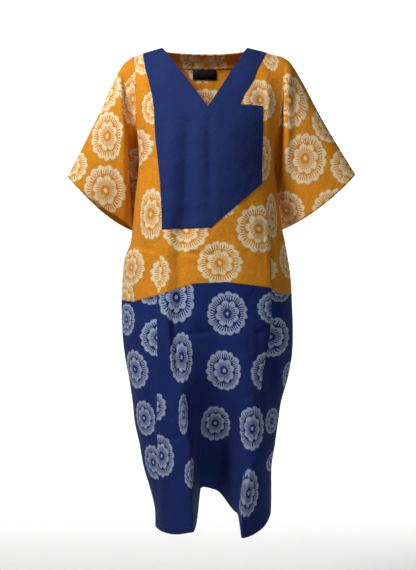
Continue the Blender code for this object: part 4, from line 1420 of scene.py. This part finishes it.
def add_stage():
    """A floor that sweeps up into a backdrop."""
    bpy.ops.object.select_all(action="DESELECT")
    middle = (0, BACKDROP - PAPER_SIZE / 2, FLOOR)
    bpy.ops.mesh.primitive_plane_add(size=PAPER_SIZE, location=middle)
    paper = bpy.context.object
    paper.name = "studio_floor"
    bpy.ops.object.transform_apply(location=True, rotation=True, scale=True)
    mesh = paper.data
    bpy.ops.object.mode_set(mode="EDIT")
    bpy.ops.mesh.select_all(action="DESELECT")
    bpy.ops.mesh.select_mode(type="EDGE")
    bpy.ops.object.mode_set(mode="OBJECT")
    for edge in mesh.edges:
        edge.select = all(mesh.vertices[i].co.y > BACKDROP - PAPER_NEAR for i in edge.vertices)
    bpy.ops.object.mode_set(mode="EDIT")
    bpy.ops.mesh.extrude_region_move(TRANSFORM_OT_translate={"value": (0, 0, PAPER_HEIGHT)})
    bpy.ops.object.mode_set(mode="OBJECT")
    for edge in mesh.edges:
        ends = [mesh.vertices[i].co for i in edge.vertices]
        at_back = all(end.y > BACKDROP - PAPER_NEAR for end in ends)
        edge.select = at_back and all(end.z < FLOOR + PAPER_NEAR for end in ends)
    bpy.ops.object.mode_set(mode="EDIT")
    bpy.ops.mesh.bevel(offset=PAPER_SWEEP, segments=24)
    bpy.ops.mesh.select_all(action="SELECT")
    bpy.ops.mesh.normals_make_consistent(inside=False)
    bpy.ops.object.mode_set(mode="OBJECT")
    bpy.ops.object.shade_smooth()
    mesh.materials.append(stage_material())


def add_light(light):
    """A square area light, turned to its aim."""
    bpy.ops.object.light_add(type="AREA", location=light.place)
    lamp = bpy.context.object
    lamp.name = light.name
    way = Vector(light.aim) - Vector(light.place)
    lamp.rotation_euler = way.to_track_quat("-Z", "Y").to_euler()
    lamp.data.size = light.size
    lamp.data.energy = light.power
    lamp.data.color = light.colour


def add_camera_and_lights():
    """The photo's straight view from the front, in a plain studio."""
    place = (0, -CAMERA_BACK, -CAMERA_DROP)
    bpy.ops.object.camera_add(location=place, rotation=(math.pi / 2, 0, 0))
    camera = bpy.context.object
    camera.data.lens = CAMERA_LENS
    camera.data.clip_end = 50
    bpy.context.scene.camera = camera
    for light in LIGHTS:
        add_light(light)
    world = bpy.data.worlds.new("studio")
    world.use_nodes = True
    world.node_tree.nodes["Background"].inputs["Color"].default_value = (0.95, 0.97, 1.0, 1)
    world.node_tree.nodes["Background"].inputs["Strength"].default_value = 0.04
    bpy.context.scene.world = world
    bpy.context.scene.view_settings.view_transform = "Standard"


def line_inside(grid, distance):
    """Points of the cloth at a distance from a grid's first row, and the way on from that row."""
    lengths = length_along(grid, 0)
    after = np.maximum(np.argmax(lengths >= distance, axis=0), 1)
    column_of = np.arange(grid.shape[1])
    start = lengths[after - 1, column_of]
    share = (distance - start) / (lengths[after, column_of] - start)
    step = grid[after, column_of] - grid[after - 1, column_of]
    return grid[after - 1, column_of] + step * share[:, None], unit(step)


def stitch_places(line):
    """Middles, runs and outward normals of the stitches of one sewn line."""
    points, inward = line_inside(line.grid, line.distance)
    lengths = running_length(points)
    stops = np.arange(STITCH_PITCH / 2, lengths[-1], STITCH_PITCH)

    def along(values, at):
        return np.stack([np.interp(at, lengths, values[:, axis]) for axis in range(3)], axis=-1)

    middles = along(points, stops)
    runs = unit(along(points, stops + STITCH_PITCH / 4) - along(points, stops - STITCH_PITCH / 4))
    normals = unit(np.cross(runs, along(inward, stops)))
    outward = middles - line.around if line.around is not None else np.array([0.0, -1.0, 0.0])
    if np.sum(normals * outward) < 0:
        normals = -normals
    return middles + normals * line.wall, runs, normals


def thread_stitch():
    """One stitch of thread along X: thick and raised in the middle, and drawn in at its ends."""
    bpy.ops.object.select_all(action="DESELECT")
    bpy.ops.mesh.primitive_cylinder_add(
        vertices=6, radius=THREAD / 2, depth=STITCH_LENGTH, rotation=(0, math.pi / 2, 0)
    )
    stitch = bpy.context.object
    bpy.ops.object.transform_apply(location=True, rotation=True, scale=True)
    bpy.ops.object.mode_set(mode="EDIT")
    bpy.ops.mesh.select_all(action="SELECT")
    bpy.ops.mesh.bisect(plane_co=(0, 0, 0), plane_no=(1, 0, 0))
    bpy.ops.mesh.select_all(action="DESELECT")
    bpy.ops.object.mode_set(mode="OBJECT")
    for corner in stitch.data.vertices:
        corner.select = abs(corner.co.x) > STITCH_LENGTH / 4
    bpy.ops.object.mode_set(mode="EDIT")
    bpy.ops.transform.resize(value=(1, 0.55, 0.55))
    bpy.ops.transform.translate(value=(0, 0, -THREAD * 0.3))
    bpy.ops.mesh.select_all(action="SELECT")
    bpy.ops.mesh.normals_make_consistent(inside=False)
    bpy.ops.object.mode_set(mode="OBJECT")
    bpy.ops.object.shade_smooth()
    return stitch


def sew(name, stitch, material, lines):
    """All the stitches of a piece, copied from one, as one mesh."""
    bpy.ops.object.select_all(action="DESELECT")
    copies = []
    for line in lines:
        for middle, run, normal in zip(*stitch_places(line)):
            across = np.cross(normal, run)
            turned = Matrix([run, across, unit(np.cross(run, across))]).transposed().to_4x4()
            turned.translation = Vector(middle)
            copy = bpy.data.objects.new(name, stitch.data.copy())
            copy.data.transform(turned)
            bpy.context.scene.collection.objects.link(copy)
            copy.select_set(True)
            copies.append(copy)
    bpy.context.view_layer.objects.active = copies[0]
    bpy.ops.object.join()
    sewn = bpy.context.object
    sewn.name = name
    sewn.data.name = name
    sewn.data.materials.clear()
    sewn.data.materials.append(material)
    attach(sewn, "root")
    return sewn


def bib_lines(bib):
    """The bib's sewn edges: its side, its neckline, its strap, its notch, and its slanted foot."""
    left, strap, right = bib
    top = tip_row()

    def turned(grid):
        return grid.transpose(1, 0, 2)

    edges = [
        turned(left),
        turned(left[:top])[::-1],
        left[::-1],
        turned(strap[:top]),
        turned(strap[:top])[::-1],
        strap[::-1],
        right,
        right[::-1],
        turned(right)[::-1],
    ]
    return [Sewn(edge, EDGE_STITCH, BIB_CLOTH, None) for edge in edges]


def front_hidden(points):
    """Where the front panels turn away round the sides."""
    half = np.where(points[:, 0] > 0, girth("right", -points[:, 2]), girth("left", -points[:, 2]))
    return (np.abs(points[:, 0]) > SIDE_HIDDEN * half) & (points[:, 2] > -SIDE_PLAIN_FROM)


def sleeve_hidden(points):
    """The sleeves' backs."""
    return points[:, 1] > SLEEVE_HIDDEN


def back_hidden(points):
    """All of the back."""
    return np.ones(len(points), bool)


def closed_up(grid):
    """A tube's grid with its first column again at the end."""
    return np.concatenate([grid, grid[:, :1]], axis=1)


# The grids of the whole dress. The front's two halves meet at the neck's tip, and the bib has
# three grids.
Dress = namedtuple(
    "Dress",
    "left right back left_skirt right_skirt back_skirt left_sleeve right_sleeve bib facing label",
)


def dress_grids():
    """The grids of all the cloth, with lips along the seams."""
    left = front_half(left_columns)
    right = front_half(right_columns)
    back = back_upper_grid()
    top_row = np.concatenate([left[-1], right[-1][1:]])
    front_skirt = skirt_grid(top_row, FRONT)
    back_skirt = skirt_grid(back[-1], BACK)
    armhole = slice(0, underarm_row() + 1)
    left_sleeve = sleeve_grid(
        left[armhole, 0],
        back[armhole, 0],
        LEFT_SLEEVE,
        LEFT_CUFF_LIFT,
        LEFT_CUFF_SAG,
        LEFT_GUTTER,
    )
    right_sleeve = sleeve_grid(
        right[armhole, -1],
        back[armhole, -1],
        RIGHT_SLEEVE,
        RIGHT_CUFF_LIFT,
        RIGHT_CUFF_SAG,
        RIGHT_GUTTER,
    )
    left_sleeve = sew_armhole(left, back, left_sleeve, 0)
    right_sleeve = sew_armhole(right, back, right_sleeve, -1)
    bib = moved_out(bib_grids(left, right), LAY_GAP)
    facing = moved_out([facing_grid(back)], -(CLOTH + LAY_GAP), flip=True)[0]
    label_in = CLOTH + LAY_GAP + FACING_CLOTH + LAY_GAP
    label = moved_out([label_grid(back)], -label_in, flip=True)[0]
    split = left.shape[1] - 1
    left, left_skirt = sew_waist(left, front_skirt[:, : split + 1])
    right, right_skirt = sew_waist(right, front_skirt[:, split:])
    back, back_skirt = sew_waist(back, back_skirt)
    uppers = (left, right, back)
    skirts = (left_skirt, right_skirt, back_skirt)
    return Dress(*uppers, *skirts, left_sleeve, right_sleeve, bib, facing, label)


def cloth_part(grid, anchor, sides=None):
    """A part for add_cloth. Places across start at the anchor column, with its own place."""
    if sides is None:
        sides = np.zeros(grid.shape[1], int)
    return grid, cloth_places(grid, anchor, grid[:, [anchor], 0]), sides


def front_parts(left, right):
    """The two halves of a front piece, with the columns beyond the pleats marked."""
    beyond_left = np.arange(left.shape[1]) <= SIDE_COLUMNS
    over = STRAP_COLUMNS + BIB_RIGHT_COLUMNS + PLEAT_COLUMNS
    beyond_right = np.arange(right.shape[1]) >= over
    return [
        cloth_part(left, -1, np.where(beyond_left, -1, 0)),
        cloth_part(right, 0, np.where(beyond_right, 1, 0)),
    ]


def add_sleeve(name, grid, material, flip, flowers):
    """A sleeve as a closed tube, with its print going round it."""
    tube = closed_up(grid)
    places = cloth_places(tube, 0, 0.0)
    parts = [(tube, places, np.zeros(tube.shape[1], int))]
    around = float(places[:, -1, 0].mean())
    return add_cloth(name, parts, material, flip=flip, flowers=(flowers, sleeve_hidden), around=around)


def cloth_pieces(dress):
    """Every cloth piece, by the node that it stands for."""
    groups = {
        "flower": resist_flower_group(),
        "weave": slub_weave_group(),
        "wear": worn_cotton_group(),
    }
    orange = cotton("orange_print", groups, ORANGE_LIGHT, ORANGE_DARK, CREAM)
    navy = cotton("navy_print", groups, NAVY_LIGHT, NAVY_DARK, PALE_BLUE)
    plain = cotton("navy_plain", groups, PLAIN_LIGHT, PLAIN_DARK)
    black = cotton("label_black", groups, BLACK_LIGHT, BLACK_DARK, roughness=0.6)
    middle = dress.back.shape[1] // 2
    pieces = {}
    pieces["front_upper"] = add_cloth(
        "front_upper_cloth",
        front_parts(dress.left, dress.right),
        orange,
        flowers=(FRONT_UPPER_FLOWERS, front_hidden),
    )
    pieces["back_upper"] = add_cloth(
        "back_upper_cloth",
        [cloth_part(dress.back, middle)],
        orange,
        flip=True,
        flowers=(BACK_UPPER_FLOWERS, back_hidden),
    )
    pieces["sleeve_left"] = add_sleeve(
        "sleeve_left_cloth", dress.left_sleeve, orange, True, LEFT_SLEEVE_FLOWERS
    )
    pieces["sleeve_right"] = add_sleeve(
        "sleeve_right_cloth", dress.right_sleeve, orange, False, RIGHT_SLEEVE_FLOWERS
    )
    bib_parts = [cloth_part(grid, anchor) for grid, anchor in zip(dress.bib, (-1, 0, 0))]
    pieces["bib"] = add_cloth("bib_cloth", bib_parts, plain, wall=BIB_CLOTH, outward=True)
    pieces["front_skirt"] = add_cloth(
        "front_skirt_cloth",
        front_parts(dress.left_skirt, dress.right_skirt),
        navy,
        flowers=(FRONT_SKIRT_FLOWERS, front_hidden),
    )
    pieces["back_skirt"] = add_cloth(
        "back_skirt_cloth",
        [cloth_part(dress.back_skirt, middle)],
        navy,
        flip=True,
        flowers=([], back_hidden),
    )
    pieces["neck_facing"] = add_cloth(
        "neck_facing_cloth",
        [cloth_part(dress.facing, dress.facing.shape[1] // 2)],
        orange,
        wall=FACING_CLOTH,
        flip=True,
        flowers=(BACK_UPPER_FLOWERS, back_hidden),
    )
    pieces["neck_label"] = add_cloth(
        "neck_label_cloth",
        [cloth_part(dress.label, LABEL_COLUMNS // 2)],
        black,
        wall=LABEL_CLOTH,
        flip=True,
    )
    return pieces


def stitching(dress):
    """The stitches of every piece that shows its sewing, by the piece's node."""
    stitch = thread_stitch()
    orange = thread("orange_thread", ORANGE_THREAD)
    navy = thread("navy_thread", NAVY_THREAD)
    neck_from = BACK_SHOULDER_COLUMNS + 1
    neck = dress.back[:, neck_from : neck_from + 2 * BACK_NECK_COLUMNS + 1]
    front_hems = [dress.left_skirt[::-1], dress.right_skirt[::-1]]
    below = np.array([0.0, 0.0, -1.0])
    sewn = {
        "bib": (navy, bib_lines(dress.bib)),
        "front_skirt": (navy, [Sewn(hem, HEM_STITCH, 0, None) for hem in front_hems]),
        "back_skirt": (navy, [Sewn(dress.back_skirt[::-1], HEM_STITCH, 0, below)]),
        "back_upper": (orange, [Sewn(neck, EDGE_STITCH, 0, below)]),
    }
    for name, grid in (("sleeve_left", dress.left_sleeve), ("sleeve_right", dress.right_sleeve)):
        cuff_middle = grid[-1].mean(axis=0)
        sewn[name] = (orange, [Sewn(closed_up(grid)[::-1], HEM_STITCH, 0, cuff_middle)])
    threads = {}
    for name, (material, lines) in sewn.items():
        threads[name] = [sew(name + "_stitches", stitch, material, lines)]
    bpy.data.objects.remove(stitch)
    return threads


def build():
    """Makes all the cloth and stitching, and hides the imported solids that the cloth pieces stand for.
    """
    dress = dress_grids()
    pieces = cloth_pieces(dress)
    threads = stitching(dress)
    for cut in CUTS:
        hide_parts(cut.node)


build()
add_stage()
add_camera_and_lights()
